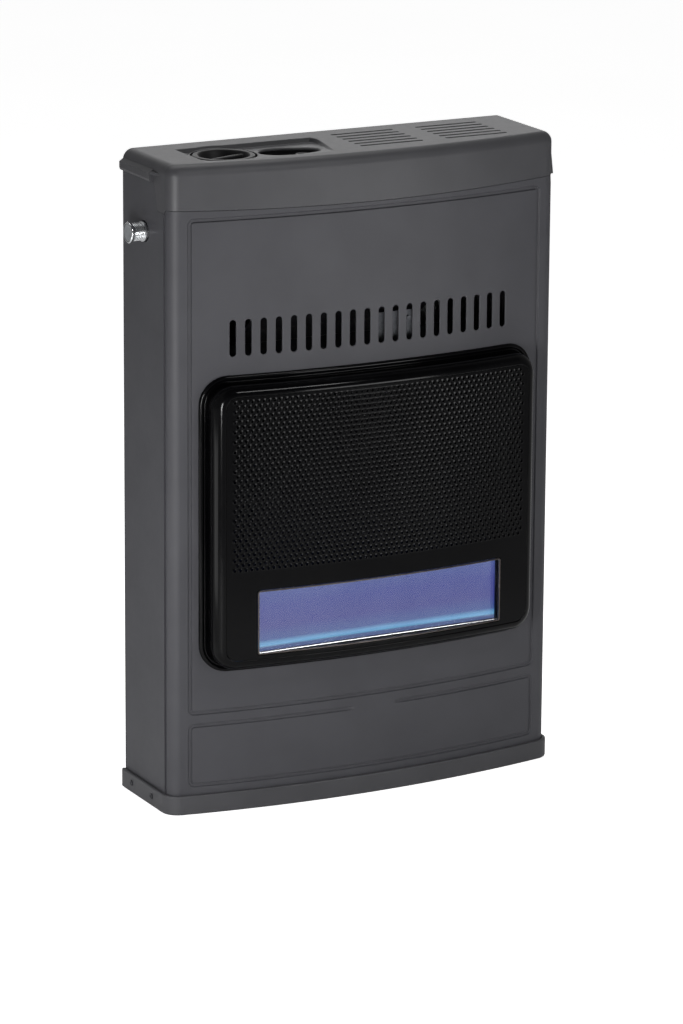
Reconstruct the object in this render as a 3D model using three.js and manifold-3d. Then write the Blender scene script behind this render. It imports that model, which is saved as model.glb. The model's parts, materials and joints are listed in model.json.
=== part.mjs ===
// A wall mounted gas heater: bowed steel casing, moulded cap and tray, a black
// domed firefront with a window, a burner inside, and two controls in the cap.
// Millimetres. X runs along the wall, Y into the wall, Z up. The origin is on
// the back of the rear panel, midway between its two keyholes.
import * as THREE from 'three';
import { mergeVertices } from 'three/addons/utils/BufferGeometryUtils.js';
import Module from 'manifold-3d';

const wasm = await Module();
wasm.setup();

// ---------------------------------------------------------------- driving sizes
const clearance = 0.3;            // between pieces that touch
const sheet = 1.2;                // thickness of the pressed steel

// casing
const bodyWidth = 430;
const bodyDepthAtEnds = 104;      // wall to the ends of the bow
const bowRise = 21.4;             // how far the middle of the front stands out
const cornerRadius = 14;          // upright front corners
const seamGap = 0.8;              // between the front panel and a side panel
const panelLap = 3;               // how far a side panel reaches behind the front panel
const rearFlange = 14;

// tray
const trayHeight = 20;
const trayOverhang = 4;
const trayWall = 3.4;
const trayFloor = 3;
const intakeSlotCount = 9;
const intakeSlotPitch = 40;
const intakeSlotWidth = 10;
const intakeSlotLength = 62;
const intakeSlotMiddleY = -58;
const trayScrewHeight = 10.7;
const trayScrewPlaces = [-23, -70];
const screwShank = 1.6;
const screwHead = 3;
const screwHole = screwShank + 0.3;

// cap
const heaterHeight = 657;
const capHeight = 48;             // from the front seam to the top
const capSideHeight = 21;         // from the seam over a side panel to the top
const sideSeamStepY = -70;        // where the side seam curves down to the front one
const sideSeamStepRun = 10;
const capEdgeRadius = 11;
const capWall = 2.5;
const lugProud = 4.5;
const lugHeight = 11;
const lugLength = 69;
const lugNose = 12.5;
const tabProud = 4;               // finger tab at the right front corner of the cap
const tabLength = 22;
const tabMiddleY = -83;
const tabTopDrop = 11;            // below the cap's top
const tabBottomRise = 3;          // above the front seam

// control area in the cap
const recessDepth = 4.5;          // at its back; it runs out to nothing at its front
const recessBackY = -26;
const recessFrontY = -100;
const recessLeftX = -171;
const recessRightX = -19;
const recessCorner = 14;

// warm-air slots in the cap
const topSlotRows = 6;
const topSlotPitch = 12.7;
const topSlotFirstY = -24;
const topSlotWidth = 3.6;
const topSlotLength = 70;
const topSlotGroupMiddles = [37.5, 133];

// front panel
const frontSlotCount = 20;
const frontSlotPitch = 15.88;
const frontSlotWidth = 6.6;
const frontSlotBottom = 465;
const frontSlotTop = 501.5;
const grooveWidth = 4;
const grooveDepth = 0.5;
const grooveCorner = 7;
const frameHalfWidth = 195.4;     // centre line of the pressed frames
const upperFrameMargin = 6.5;     // below the front seam
const upperFrameBottom = 104.5;
const lowerFrameTop = 91.5;
const lowerFrameBottom = 32.5;
const lowerFrameGap = 51;

// domed firefront
const bezelHalfWidth = 186;
const bezelTop = 446.5;
const bezelBottom = 145.5;
const bezelCorner = 29;
const beadHeight = 3.6;
const beadWidth = 4.6;
const flankInset = 6.6;
const domeHeight = 26;
const domeEdgeRadius = 10;
const domeSheet = 1.4;
const windowHalfWidth = 137;
const windowBottom = 166.5;
const windowTop = 232.7;
const windowCorner = 6;
const trimWidth = 1.4;
const trimProud = 0.8;

// window glass and its frame
const glassFrontY = -137;
const glassThickness = 4;
const glassLap = 6;               // glass beyond the window opening
const glassSeat = 0.6;            // room round the glass
const frameLip = 4;
const frameToeStep = 3.2;         // the frame's lower edge keeps clear of the dome's round edge
const sillRadius = 1.8;

// firebox and burner
const mouthHalfWidth = 152;       // opening of the front panel behind the dome
const mouthMargin = 11;           // from the bezel's edge to that opening
const fireboxHalfWidth = 150;
const fireboxBackY = -32;
const fireboxBottom = 122;
const fireboxTop = 455;
const fireboxFlange = 8;
const burnerRadius = 17;
const burnerWall = 1.2;
const burnerY = -84;
const burnerTopZ = 160;
const burnerReach = 7;            // beyond each side wall of the firebox
const portCount = 15;
const portPitch = 17;
const portWidth = 1.6;
const portLength = 16;
const hangerHalfLength = 95;
const hangerFoot = 16;
const upperHangerZ = 425;
const lowerHangerZ = 150;
const deflectorHalfWidth = 100;
const deflectorRise = 60;
const deflectorReach = 62;
const deflectorLip = 14;
const bracketSheet = 1.5;
const injectorLength = 16;        // from the burner's end to the back of the injector
const injectorTipRadius = 3;
const injectorHexRadius = 6;
const injectorTipReach = 4;       // into the burner
const injectorPlateSetback = 5;
const injectorPlateReach = 16;    // round the injector
const injectorPlateFoot = 17;

// pilot set beside the burner
const pilotX = -100;
const pilotY = -57;
const pilotPlateZ = 138;
const pilotPlateWidth = 40;
const pilotSpacing = 12;
const pilotTop = 172;
const pilotPlateReach = 8;        // in front of the pilot pins
const pilotPlateFoot = 14;
const pilotPinDrop = 10;          // below the plate
const pilotPinFlange = 1.2;
const pilotPinFlangeHeight = 3;
const pilotBurnerDrop = 6;        // below the electrode's tip
const thermocoupleDrop = 2;
const pilotBurnerRadius = 3.5;
const electrodeRadius = 2.2;
const thermocoupleRadius = 1.8;

// pale bracket behind the middle air slots
const strapMiddleX = 33;
const strapWidth = 44;
const strapFaceY = -104;
const strapTop = 490.5;
const strapFootBottom = 438;
const strapFootTop = 455;
const strapFlange = 15;
const strapScrewX = 49;
const strapScrewZ = 482;

// knob, spindle and valve
const knobX = -134;
const knobY = -59.5;
const knobHoleRadius = 33;
const knobGap = 1.6;
const knobTopDrop = 2;            // below the cap's top
const knobHeight = 18.5;
const knobRim = 5;
const knobDishDepth = 14;
const knobDishFloorRadius = 22;
const knobGripWidth = 8;
const knobGripAngle = 17;
const knobTravel = 4;
const knobBossRadius = 8;
const knobBossLength = 8.5;
const spindleRadius = 3;
const collarRadius = 5.2;
const collarThickness = 2.5;
const collarDrop = 31.5;          // from the knob's top to the collar's underside
const washerThickness = 1.2;
const washerRadius = 8;
const springTurns = 4;
const springRadius = 5.6;
const springWire = 0.6;
const bonnetDrop = 49;            // from the knob's top to the bonnet's top
const bonnetHeight = 9;
const bonnetRadius = 10.5;
const spindleInBonnet = 10;
const spindleBoreDepth = 18;
const valveHeight = 35;
const valveWidth = 36;
const valveDepth = 34;
const valveUnionRadius = 8;
const valveUnionReach = 8;
const shelfMargin = 4;
const shelfFoot = 23.5;

// finger well, igniter and its button
const wellX = -73;
const wellY = -69;
const wellRadius = 22;
const wellSmallX = -53;
const wellSmallY = -71;
const wellSmallRadius = 14;
const wellDepth = 16;             // below the cap's top
const buttonRadius = 7.4;
const buttonTopDrop = 6;          // below the cap's top
const buttonTravel = 5;
const buttonShoulder = 0.9;
const buttonSkirt = 8;
const igniterRadius = 10.5;
const igniterLength = 42;
const igniterBoreDepth = 23;

// gas inlet
const inletY = -48.4;
const inletDrop = 73.5;           // below the cap's top
const inletRadius = 10.48;        // G 1/2 thread
const inletReach = 18;            // beyond the side panel
const inletInner = 26;
const inletBore = 7;
const inletThroat = 3;
const inletCollarRadius = 13;
const inletPlateGap = 3.5;        // side panel to the collar
const inletCollarThickness = 3;
const nutAcross = 27;
const nutThickness = 6;
const plugFlangeRadius = 8.6;
const plugFlangeThickness = 1.2;
const plugDepth = 9;
const pipeRadius = 5;
const pipeWall = 1;
const feedPipeTurn = 9.7;         // from the injector to the pipe's upright run
const feedPipeY = -66;
const feedPipeDrop = 32;          // below the valve
const feedPipeSlant = 30;         // rise over which the pipe moves forward to the burner
const pipeBend = 7;
const inletPlateMargin = 5;
const inletPlateFoot = 16;

// hanging keyholes
const keyholeDrop = 67;           // below the cap's top
const keyholeHalfSpacing = 90;
const keyholeHeadRadius = 5;
const keyholeShankRadius = 2.7;
const keyholeRise = 11;

// ---------------------------------------------------------------- worked out
const half = bodyWidth / 2;
const bowRadius = (half * half + bowRise * bowRise) / (2 * bowRise);
const bowCentreY = bowRadius - bowRise - bodyDepthAtEnds;
const cornerX = half - cornerRadius;
const cornerY = bowCentreY - Math.sqrt((bowRadius - cornerRadius) ** 2 - cornerX ** 2);
const cornerTurn = Math.asin(cornerX / (bowRadius - cornerRadius));
const seamHeight = heaterHeight - capHeight;
const sideSeamHeight = heaterHeight - capSideHeight;
const keyholeHeight = heaterHeight - keyholeDrop;
const inletZ = heaterHeight - inletDrop;
const knobTop = heaterHeight - knobTopDrop;
const collarZ = knobTop - collarDrop;
const bonnetTop = knobTop - bonnetDrop;
const valveTop = bonnetTop - bonnetHeight;
const valveBottom = valveTop - valveHeight;
const wellFloorTop = heaterHeight - wellDepth;
const buttonTop = heaterHeight - buttonTopDrop;
const upperFrameTop = seamHeight - upperFrameMargin;
const burnerEndX = -fireboxHalfWidth - burnerReach;
const injectorEndX = burnerEndX - injectorLength;
const feedPipeX = injectorEndX - clearance - feedPipeTurn;
const panelBottom = trayFloor + clearance;
const panelTop = seamHeight - clearance;
const glassBackY = glassFrontY + glassThickness;
const sillY = glassFrontY - clearance - sillRadius;
const domeShoulderZ = bezelBottom + flankInset + domeEdgeRadius;
const mouthBottom = bezelBottom + mouthMargin;
const mouthTop = bezelTop - mouthMargin;
const burnerZ = burnerTopZ - burnerRadius;
const wellFloor = wellFloorTop - capWall;
const cupFloorTop = knobTop - knobHeight - knobTravel - clearance;

// ---------------------------------------------------------------- shape helpers
const vec = (x, y, z) => new THREE.Vector3(x, y, z);
const flat = (x, y) => new THREE.Vector2(x, y);

// turns a closed geometry into a solid whose faces point out
function solid(geometry) {
  const bare = geometry.index ? geometry.toNonIndexed() : geometry.clone();
  for (const name of Object.keys(bare.attributes)) {
    if (name !== 'position') bare.deleteAttribute(name);
  }
  const merged = mergeVertices(bare, 1e-4);
  const position = merged.attributes.position.array;
  const corners = [];
  let volume = 0;
  for (let i = 0; i < merged.index.count; i += 3) {
    const [a, b, c] = [0, 1, 2].map((k) => merged.index.array[i + k]);
    if (a === b || b === c || c === a) continue;
    corners.push(a, b, c);
    const [p, q, r] = [a, b, c].map((k) => new THREE.Vector3().fromArray(position, 3 * k));
    volume += p.dot(q.cross(r));
  }
  if (volume < 0) corners.reverse();
  const triVerts = new Uint32Array(corners);
  return new wasm.Manifold(new wasm.Mesh({ numProp: 3, vertProperties: position, triVerts }));
}

const join = (...solids) => solids.reduce((sum, next) => sum.add(next));
const cut = (from, ...tools) => tools.reduce((rest, tool) => rest.subtract(tool), from);

// extrudes a shape along the third of the given axes
function extrude(points, holes, length, axisA, axisB, axisC, start) {
  const shape = new THREE.Shape(points);
  for (const hole of holes) shape.holes.push(new THREE.Path(hole));
  const geometry = new THREE.ExtrudeGeometry(shape, { depth: length, bevelEnabled: false });
  geometry.applyMatrix4(new THREE.Matrix4().makeBasis(axisA, axisB, axisC).setPosition(start));
  return solid(geometry);
}
const alongZ = (points, z0, z1, holes = []) =>
  extrude(points, holes, z1 - z0, vec(1, 0, 0), vec(0, 1, 0), vec(0, 0, 1), vec(0, 0, z0));
const alongX = (points, x0, x1, holes = []) =>
  extrude(points, holes, x1 - x0, vec(0, 1, 0), vec(0, 0, 1), vec(1, 0, 0), vec(x0, 0, 0));
const alongY = (points, y0, y1, holes = []) =>
  extrude(points, holes, y1 - y0, vec(1, 0, 0), vec(0, 0, 1), vec(0, -1, 0), vec(0, y1, 0));

function block(x0, x1, y0, y1, z0, z1) {
  const geometry = new THREE.BoxGeometry(x1 - x0, y1 - y0, z1 - z0);
  geometry.translate((x0 + x1) / 2, (y0 + y1) / 2, (z0 + z1) / 2);
  return solid(geometry);
}

// a round bar from one point to another
function rod(radius, from, to, sides = 20) {
  const run = to.clone().sub(from);
  const geometry = new THREE.CylinderGeometry(radius, radius, run.length(), sides);
  const turn = new THREE.Quaternion().setFromUnitVectors(vec(0, 1, 0), run.clone().normalize());
  geometry.applyQuaternion(turn);
  geometry.translate(...from.clone().add(to).multiplyScalar(0.5).toArray());
  return solid(geometry);
}
const rodZ = (radius, x, y, z0, z1, sides) => rod(radius, vec(x, y, z0), vec(x, y, z1), sides);
const rodX = (radius, y, z, x0, x1, sides) => rod(radius, vec(x0, y, z), vec(x1, y, z), sides);
const rodY = (radius, x, z, y0, y1, sides) => rod(radius, vec(x, y0, z), vec(x, y1, z), sides);

// a body turned about an upright axis, from (radius, height) pairs
function turned(profile, x, y, sides = 40) {
  const geometry = new THREE.LatheGeometry(profile.map(([r, z]) => flat(r, z)), sides);
  geometry.rotateX(Math.PI / 2);
  geometry.translate(x, y, 0);
  return solid(geometry);
}

// a rounded rectangle as a list of points, with its long sides cut into steps
function roundedRectangle(x0, x1, z0, z1, radius, cornerSteps = 6, sideSteps = 1) {
  const points = [];
  const corners = [[x1, z1, 0], [x0, z1, 1], [x0, z0, 2], [x1, z0, 3]];
  for (const [x, z, quarter] of corners) {
    const centreX = x === x1 ? x1 - radius : x0 + radius;
    const centreZ = z === z1 ? z1 - radius : z0 + radius;
    for (let i = 0; i <= cornerSteps; i += 1) {
      const angle = (quarter + i / cornerSteps) * Math.PI / 2;
      points.push(flat(centreX + radius * Math.cos(angle), centreZ + radius * Math.sin(angle)));
    }
    const level = quarter === 0 || quarter === 2;
    const reach = x1 - x0 - 2 * radius;
    for (let i = 1; level && i < sideSteps; i += 1) {
      const step = (quarter === 0 ? -1 : 1) * reach * i / sideSteps;
      points.push(flat(centreX + step, z));
    }
  }
  return points;
}

// an upright or level slot with round ends
function slotOutline(x0, x1, y0, y1, steps = 3) {
  return roundedRectangle(x0, x1, y0, y1, Math.min(x1 - x0, y1 - y0) / 2 - 0.001, steps);
}

// the plan outline of the casing, grown by an offset, open at the wall side
function planOutline(offset, rearY, bowSteps = 20, cornerSteps = 4) {
  const right = [flat(half + offset, rearY)];
  const radius = cornerRadius + offset;
  for (let i = 0; i <= cornerSteps; i += 1) {
    const angle = -(Math.PI / 2 - cornerTurn) * i / cornerSteps;
    right.push(flat(cornerX + radius * Math.cos(angle), cornerY + radius * Math.sin(angle)));
  }
  const bow = [];
  for (let i = 1; i < bowSteps; i += 1) {
    const angle = cornerTurn * (1 - 2 * i / bowSteps);
    const reach = bowRadius + offset;
    bow.push(flat(reach * Math.sin(angle), bowCentreY - reach * Math.cos(angle)));
  }
  const left = right.map((point) => flat(-point.x, point.y)).reverse();
  return [...right, ...bow, ...left];
}

// the bowed front face at a place along the heater, moved forward by proud
const bowY = (x, proud = 0) => bowCentreY - Math.sqrt(bowRadius ** 2 - x ** 2) - proud;

// a bowed slab between two distances in front of the casing
function bowedSlab(halfWidth, proudFront, proudBack, z0, z1, steps = 20) {
  const places = Array.from({ length: steps + 1 }, (_, i) => halfWidth * (2 * i / steps - 1));
  const front = places.map((x) => flat(x, bowY(x, proudFront)));
  const back = places.map((x) => flat(x, bowY(x, proudBack))).reverse();
  return alongZ([...front, ...back], z0, z1);
}

// a closed tube of loops, each loop joined to the next and the last to the first
function loopedRing(loops) {
  const count = loops[0].length;
  const positions = loops.flat().flatMap((point) => point.toArray());
  const index = [];
  for (let i = 0; i < loops.length; i += 1) {
    const next = (i + 1) % loops.length;
    for (let j = 0; j < count; j += 1) {
      const k = (j + 1) % count;
      const [a, b, c, d] = [i * count + j, i * count + k, next * count + k, next * count + j];
      index.push(a, b, c, a, c, d);
    }
  }
  const geometry = new THREE.BufferGeometry();
  geometry.setAttribute('position', new THREE.Float32BufferAttribute(positions, 3));
  geometry.setIndex(index);
  return solid(geometry);
}

// a stack of level outlines, closed at its bottom and top
function stackedOutlines(levels) {
  const count = levels[0].points.length;
  const positions = levels.flatMap(({ points, z }) => points.flatMap((p) => [p.x, p.y, z]));
  const index = [];
  for (let i = 0; i + 1 < levels.length; i += 1) {
    for (let j = 0; j < count; j += 1) {
      const k = (j + 1) % count;
      const [a, b, c, d] = [i * count + j, i * count + k, (i + 1) * count + k, (i + 1) * count + j];
      index.push(a, b, c, a, c, d);
    }
  }
  const last = (levels.length - 1) * count;
  const sense = THREE.ShapeUtils.isClockWise(levels[0].points) ? -1 : 1;
  for (const [a, b, c] of THREE.ShapeUtils.triangulateShape(levels[0].points, [])) {
    const face = sense > 0 ? [a, c, b] : [a, b, c];
    index.push(...face);
  }
  for (const [a, b, c] of THREE.ShapeUtils.triangulateShape(levels.at(-1).points, [])) {
    const face = sense > 0 ? [a, b, c] : [a, c, b];
    index.push(...face.map((corner) => last + corner));
  }
  const geometry = new THREE.BufferGeometry();
  geometry.setAttribute('position', new THREE.Float32BufferAttribute(positions, 3));
  geometry.setIndex(index);
  return solid(geometry);
}

// a pipe with a bore along straight runs joined by round bends
function pipe(points, radius, wall, bend, sides = 8) {
  const path = new THREE.CurvePath();
  let start = points[0];
  for (let i = 1; i < points.length; i += 1) {
    const end = points[i];
    if (i + 1 === points.length) {
      path.add(new THREE.LineCurve3(start, end));
      continue;
    }
    const before = end.clone().sub(start).normalize().multiplyScalar(bend);
    const after = points[i + 1].clone().sub(end).normalize().multiplyScalar(bend);
    const bendStart = end.clone().sub(before);
    const bendEnd = end.clone().add(after);
    path.add(new THREE.LineCurve3(start, bendStart));
    path.add(new THREE.QuadraticBezierCurve3(bendStart, end, bendEnd));
    start = bendEnd;
  }
  const circle = (r) => Array.from({ length: sides }, (_, i) =>
    flat(r * Math.cos(2 * Math.PI * i / sides), r * Math.sin(2 * Math.PI * i / sides)));
  const section = new THREE.Shape(circle(radius));
  section.holes.push(new THREE.Path(circle(radius - wall)));
  const steps = 7 * (points.length - 1);
  return solid(new THREE.ExtrudeGeometry(section, { extrudePath: path, steps, bevelEnabled: false }));
}

// a coil spring standing on z0 about an upright axis
function coilSpring(x, y, z0, z1, radius, wire, turns) {
  class Helix extends THREE.Curve {
    getPoint(t) {
      const angle = 2 * Math.PI * turns * t;
      return vec(x + radius * Math.cos(angle), y + radius * Math.sin(angle),
        z0 + wire + (z1 - z0 - 2 * wire) * t);
    }
  }
  const section = new THREE.Shape();
  section.absarc(0, 0, wire, 0, 2 * Math.PI);
  const settings = { extrudePath: new Helix(), steps: turns * 12, bevelEnabled: false, curveSegments: 3 };
  return solid(new THREE.ExtrudeGeometry(section, settings));
}

// ---------------------------------------------------------------- finishes
const srgb = (hex, roughness, metalness = 0) =>
  new THREE.MeshStandardMaterial({ color: new THREE.Color(hex), roughness, metalness });
const finish = {
  casing: () => srgb('#47474b', 0.5),
  moulding: () => srgb('#454548', 0.6),
  control: () => srgb('#161618', 0.45),
  firefront: () => srgb('#08090a', 0.12),
  steel: () => srgb('#9a9c9e', 0.4, 0.9),
  bright: () => srgb('#c9cbce', 0.18, 1),
  blackened: () => srgb('#1b1b1d', 0.7),
  brass: () => srgb('#b08d4f', 0.35, 1),
  aluminium: () => srgb('#b9bcc0', 0.4, 1),
  glass: () => srgb('#4a4f96', 0.05),
  ceramic: () => srgb('#e6e2d8', 0.4),
  plug: () => srgb('#b8bcc0', 0.35),
};

// ---------------------------------------------------------------- casing
function sideSeamProfile(lift, farZ) {
  const points = [flat(10, farZ), flat(10, sideSeamHeight + lift)];
  const drop = sideSeamHeight - seamHeight;
  const steps = 8;
  for (let i = 0; i <= steps; i += 1) {
    const turn = Math.PI * i / steps;
    const y = sideSeamStepY - sideSeamStepRun * i / steps;
    points.push(flat(y, seamHeight + lift + drop * (1 + Math.cos(turn)) / 2));
  }
  points.push(flat(-half, seamHeight + lift), flat(-half, farZ));
  return points;
}

function sidePanel(side) {
  const frontY = cornerY + seamGap;
  const joggle = sheet + 2 * clearance;
  const at = (a, b) => (side < 0 ? [-b, -a] : [a, b]);
  const piece = (near, far, y0, y1) => block(...at(near, far), y0, y1, panelBottom, sideSeamHeight);
  const panel = join(
    piece(half - sheet, half, frontY, 0),
    piece(half - joggle - sheet, half, frontY, frontY + sheet),
    piece(half - joggle - sheet, half - joggle, frontY - panelLap, frontY + sheet),
    piece(half - rearFlange, half, -2 * sheet - clearance, -sheet - clearance),
  );
  const above = alongX(sideSeamProfile(-clearance, heaterHeight), ...at(half - 30, half + 5));
  const holes = trayScrewPlaces.map((y) => rodX(screwHole, y, trayScrewHeight, ...at(half - 9, half + 9), 12));
  const inlet = side < 0 ? [rodX(inletRadius + clearance, inletY, inletZ, -half - 5, -half + 5, 36)] : [];
  return cut(panel, above, ...holes, ...inlet);
}

function rearPanel() {
  const halfWidth = half - capWall - clearance;
  const holes = [-1, 1].flatMap((side) => {
    const x = side * keyholeHalfSpacing;
    const neck = slotOutline(x - keyholeShankRadius, x + keyholeShankRadius,
      keyholeHeight - keyholeShankRadius, keyholeHeight + keyholeRise);
    return [rodY(keyholeHeadRadius, x, keyholeHeight, -5, 5, 24), alongY(neck, -5, 5)];
  });
  const top = heaterHeight - capWall - clearance;
  const outline = [
    ...roundedRectangle(-halfWidth, halfWidth, panelBottom, top, capEdgeRadius).slice(0, 14),
    flat(-halfWidth, panelBottom), flat(halfWidth, panelBottom),
  ];
  return cut(alongY(outline, -sheet, 0), ...holes);
}

function pressedFrame(z0, z1) {
  const reach = frameHalfWidth + grooveWidth / 2;
  const inner = frameHalfWidth - grooveWidth / 2;
  const rise = grooveWidth / 2;
  const outline = roundedRectangle(-reach, reach, z0 - rise, z1 + rise, grooveCorner + rise, 5);
  const hole = roundedRectangle(-inner, inner, z0 + rise, z1 - rise, grooveCorner - rise, 5);
  return alongY(outline, -2 * half, 0, [hole]);
}

function frontPanel() {
  const outer = planOutline(0, cornerY);
  const inner = planOutline(-sheet, cornerY);
  const skin = alongZ([...outer, ...inner.reverse()], panelBottom, panelTop);
  const slots = Array.from({ length: frontSlotCount }, (_, i) => {
    const x = (i - (frontSlotCount - 1) / 2) * frontSlotPitch;
    const reach = frontSlotWidth / 2;
    return alongY(slotOutline(x - reach, x + reach, frontSlotBottom, frontSlotTop), -2 * half, -half / 4, []);
  });
  const mouth = roundedRectangle(-mouthHalfWidth, mouthHalfWidth, mouthBottom, mouthTop, cornerRadius);
  const grooveFloor = bowedSlab(half, 5, -grooveDepth, panelBottom, panelTop);
  const gap = block(-lowerFrameGap / 2, lowerFrameGap / 2, -2 * half, 0,
    lowerFrameTop - grooveWidth, lowerFrameTop + grooveWidth);
  const grooves = join(
    pressedFrame(upperFrameBottom, upperFrameTop),
    cut(pressedFrame(lowerFrameBottom, lowerFrameTop), gap),
  ).intersect(grooveFloor);
  return cut(skin, ...slots, alongY(mouth, -2 * half, -half / 4), grooves);
}

function baseTray() {
  const outer = alongZ(planOutline(trayOverhang, 0), 0, trayHeight);
  const hollow = alongZ(planOutline(trayOverhang - trayWall, 10), trayFloor, trayHeight + 5);
  const slots = Array.from({ length: intakeSlotCount }, (_, i) => {
    const x = (i - (intakeSlotCount - 1) / 2) * intakeSlotPitch;
    const [wide, long] = [intakeSlotWidth / 2, intakeSlotLength / 2];
    const outline = slotOutline(x - wide, x + wide, intakeSlotMiddleY - long, intakeSlotMiddleY + long);
    return alongZ(outline, -5, trayFloor + 5);
  });
  const holes = trayScrewPlaces.flatMap((y) => [-1, 1].map((side) =>
    rodX(screwHole, y, trayScrewHeight, side * (half - 3), side * (half + 9), 12)));
  return cut(outer, hollow, ...slots, ...holes);
}

// ---------------------------------------------------------------- cap
function capStack(inset, bottom, top, edgeRadius, rearY) {
  const steps = 5;
  const levels = [{ points: planOutline(-inset, rearY), z: bottom }];
  for (let i = 0; i <= steps; i += 1) {
    const turn = Math.PI / 2 * i / steps;
    const z = top - edgeRadius * (1 - Math.sin(turn));
    levels.push({ points: planOutline(-inset - edgeRadius * (1 - Math.cos(turn)), rearY), z });
  }
  return stackedOutlines(levels);
}

// everything under the seam between the casing and the cap
const belowCap = () => alongX(sideSeamProfile(0, seamHeight - 20), -half - 20, half + 20);

function recessOutline(grow) {
  const x0 = recessLeftX - grow;
  const x1 = recessRightX + grow;
  const y1 = recessBackY + grow;
  const slant = 16;
  return [
    flat(x0, y1), flat(x0, recessFrontY - grow), flat(x1 - slant, recessFrontY - grow),
    flat(x1 - slant / 4, (recessFrontY + recessBackY) / 2), flat(x1, recessBackY - recessCorner),
    flat(x1 - recessCorner * 0.3, y1 - recessCorner * 0.3), flat(x1 - recessCorner, y1),
  ];
}

function wellOutline(grow) {
  const big = flat(wellX, wellY);
  const small = flat(wellSmallX, wellSmallY);
  const run = small.clone().sub(big);
  const lean = Math.acos((wellRadius - wellSmallRadius) / run.length());
  const heading = run.angle();
  const arc = (centre, radius, from, to, steps) => Array.from({ length: steps + 1 }, (_, i) => {
    const angle = heading + from + (to - from) * i / steps;
    return flat(centre.x + radius * Math.cos(angle), centre.y + radius * Math.sin(angle));
  });
  return [
    ...arc(small, wellSmallRadius + grow, -lean, lean, 10),
    ...arc(big, wellRadius + grow, lean, 2 * Math.PI - lean, 20),
  ];
}

function capLug(side) {
  const points = [
    flat(side * (half - capWall), -1), flat(side * (half + lugProud), -1),
    flat(side * (half + lugProud), -lugLength), flat(side * half, -lugLength - lugNose),
    flat(side * (half - capWall), -lugLength - lugNose),
  ];
  return alongZ(points, sideSeamHeight, sideSeamHeight + lugHeight);
}

function capTab() {
  const y0 = tabMiddleY - tabLength / 2;
  const y1 = tabMiddleY + tabLength / 2;
  const points = [
    flat(half - capWall, y0), flat(half, y0), flat(half + tabProud, y0 + tabProud),
    flat(half + tabProud, y1), flat(half, y1 + tabProud), flat(half - capWall, y1 + tabProud),
  ];
  return cut(alongZ(points, seamHeight + tabBottomRise, heaterHeight - tabTopDrop), belowCap());
}

function topCap() {
  const shell = cut(
    capStack(0, seamHeight, heaterHeight, capEdgeRadius, 0),
    capStack(capWall, seamHeight - 5, heaterHeight - capWall, capEdgeRadius - capWall, 10),
    belowCap(),
  );
  const deckTop = heaterHeight - 1;
  const pad = alongZ(recessOutline(capWall), heaterHeight - recessDepth - capWall, deckTop);
  const inside = capStack(capWall / 2, seamHeight, heaterHeight - capWall / 2, capEdgeRadius, 0);
  const cup = rodZ(knobHoleRadius + capWall, knobX, knobY, cupFloorTop - capWall, deckTop, 48);
  const well = alongZ(wellOutline(capWall), wellFloor, deckTop);
  const ramp = alongX([flat(recessFrontY, heaterHeight), flat(recessBackY, heaterHeight - recessDepth),
    flat(recessBackY + 9, heaterHeight - recessDepth), flat(recessBackY + 9, heaterHeight + 9),
    flat(recessFrontY, heaterHeight + 9)], -half, half);
  const recess = alongZ(recessOutline(0), heaterHeight - 9, heaterHeight + 9).intersect(ramp);
  const slots = topSlotGroupMiddles.flatMap((middle) => Array.from({ length: topSlotRows }, (_, i) => {
    const y = topSlotFirstY - i * topSlotPitch;
    const [long, wide] = [topSlotLength / 2, topSlotWidth / 2];
    return alongZ(slotOutline(middle - long, middle + long, y - wide, y + wide, 3), deckTop - 9, deckTop + 9);
  }));
  return cut(
    join(shell, join(pad, cup, well).intersect(inside), capLug(-1), capLug(1), capTab()),
    recess,
    rodZ(knobHoleRadius, knobX, knobY, cupFloorTop, heaterHeight + 9, 48),
    rodZ(knobBossRadius + 1.5, knobX, knobY, cupFloorTop - 9, cupFloorTop + 9, 32),
    alongZ(wellOutline(0), wellFloorTop, heaterHeight + 9),
    rodZ(buttonRadius + clearance, wellSmallX, wellSmallY, wellFloor - 5, wellFloorTop + 5, 32),
    ...slots,
  );
}

// ---------------------------------------------------------------- firefront
// one loop round the firefront, a given distance in from its edge and out from the panel
function frontLoop(inset, proud) {
  const corner = Math.max(bezelCorner - inset, 2);
  return roundedRectangle(-bezelHalfWidth + inset, bezelHalfWidth - inset, bezelBottom + inset,
    bezelTop - inset, corner, 5, 12).map((p) => vec(p.x, bowY(p.x, proud), p.y));
}

function bezelFrame() {
  const arcSteps = 4;
  const centreInset = flankInset + domeEdgeRadius;
  const centreProud = domeHeight - domeEdgeRadius;
  const shoulder = (radius) => Array.from({ length: arcSteps + 1 }, (_, i) => {
    const turn = Math.PI / 2 * i / arcSteps;
    return [centreInset - radius * Math.cos(turn), centreProud + radius * Math.sin(turn)];
  });
  const profile = [
    [0, clearance], [0, beadHeight - 1.2], [1.2, beadHeight], [beadWidth - 1.4, beadHeight],
    [beadWidth, beadHeight - 1.6], [flankInset - 0.6, beadHeight - 1.6],
    ...shoulder(domeEdgeRadius),
    ...shoulder(domeEdgeRadius - domeSheet).reverse(),
    [flankInset + domeSheet - 0.3, clearance],
  ];
  return loopedRing(profile.map(([inset, proud]) => frontLoop(inset, proud)));
}

function grillePanel() {
  const inset = flankInset + domeEdgeRadius + clearance;
  const outline = roundedRectangle(-bezelHalfWidth + inset, bezelHalfWidth - inset,
    bezelBottom + inset, bezelTop - inset, bezelCorner - inset, 6);
  const opening = roundedRectangle(-windowHalfWidth, windowHalfWidth, windowBottom, windowTop, windowCorner);
  const plate = alongY(outline, -2 * half, 0, [opening]);
  const skin = bowedSlab(bezelHalfWidth, domeHeight, domeHeight - domeSheet, bezelBottom, bezelTop);
  return plate.intersect(skin);
}

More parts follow.
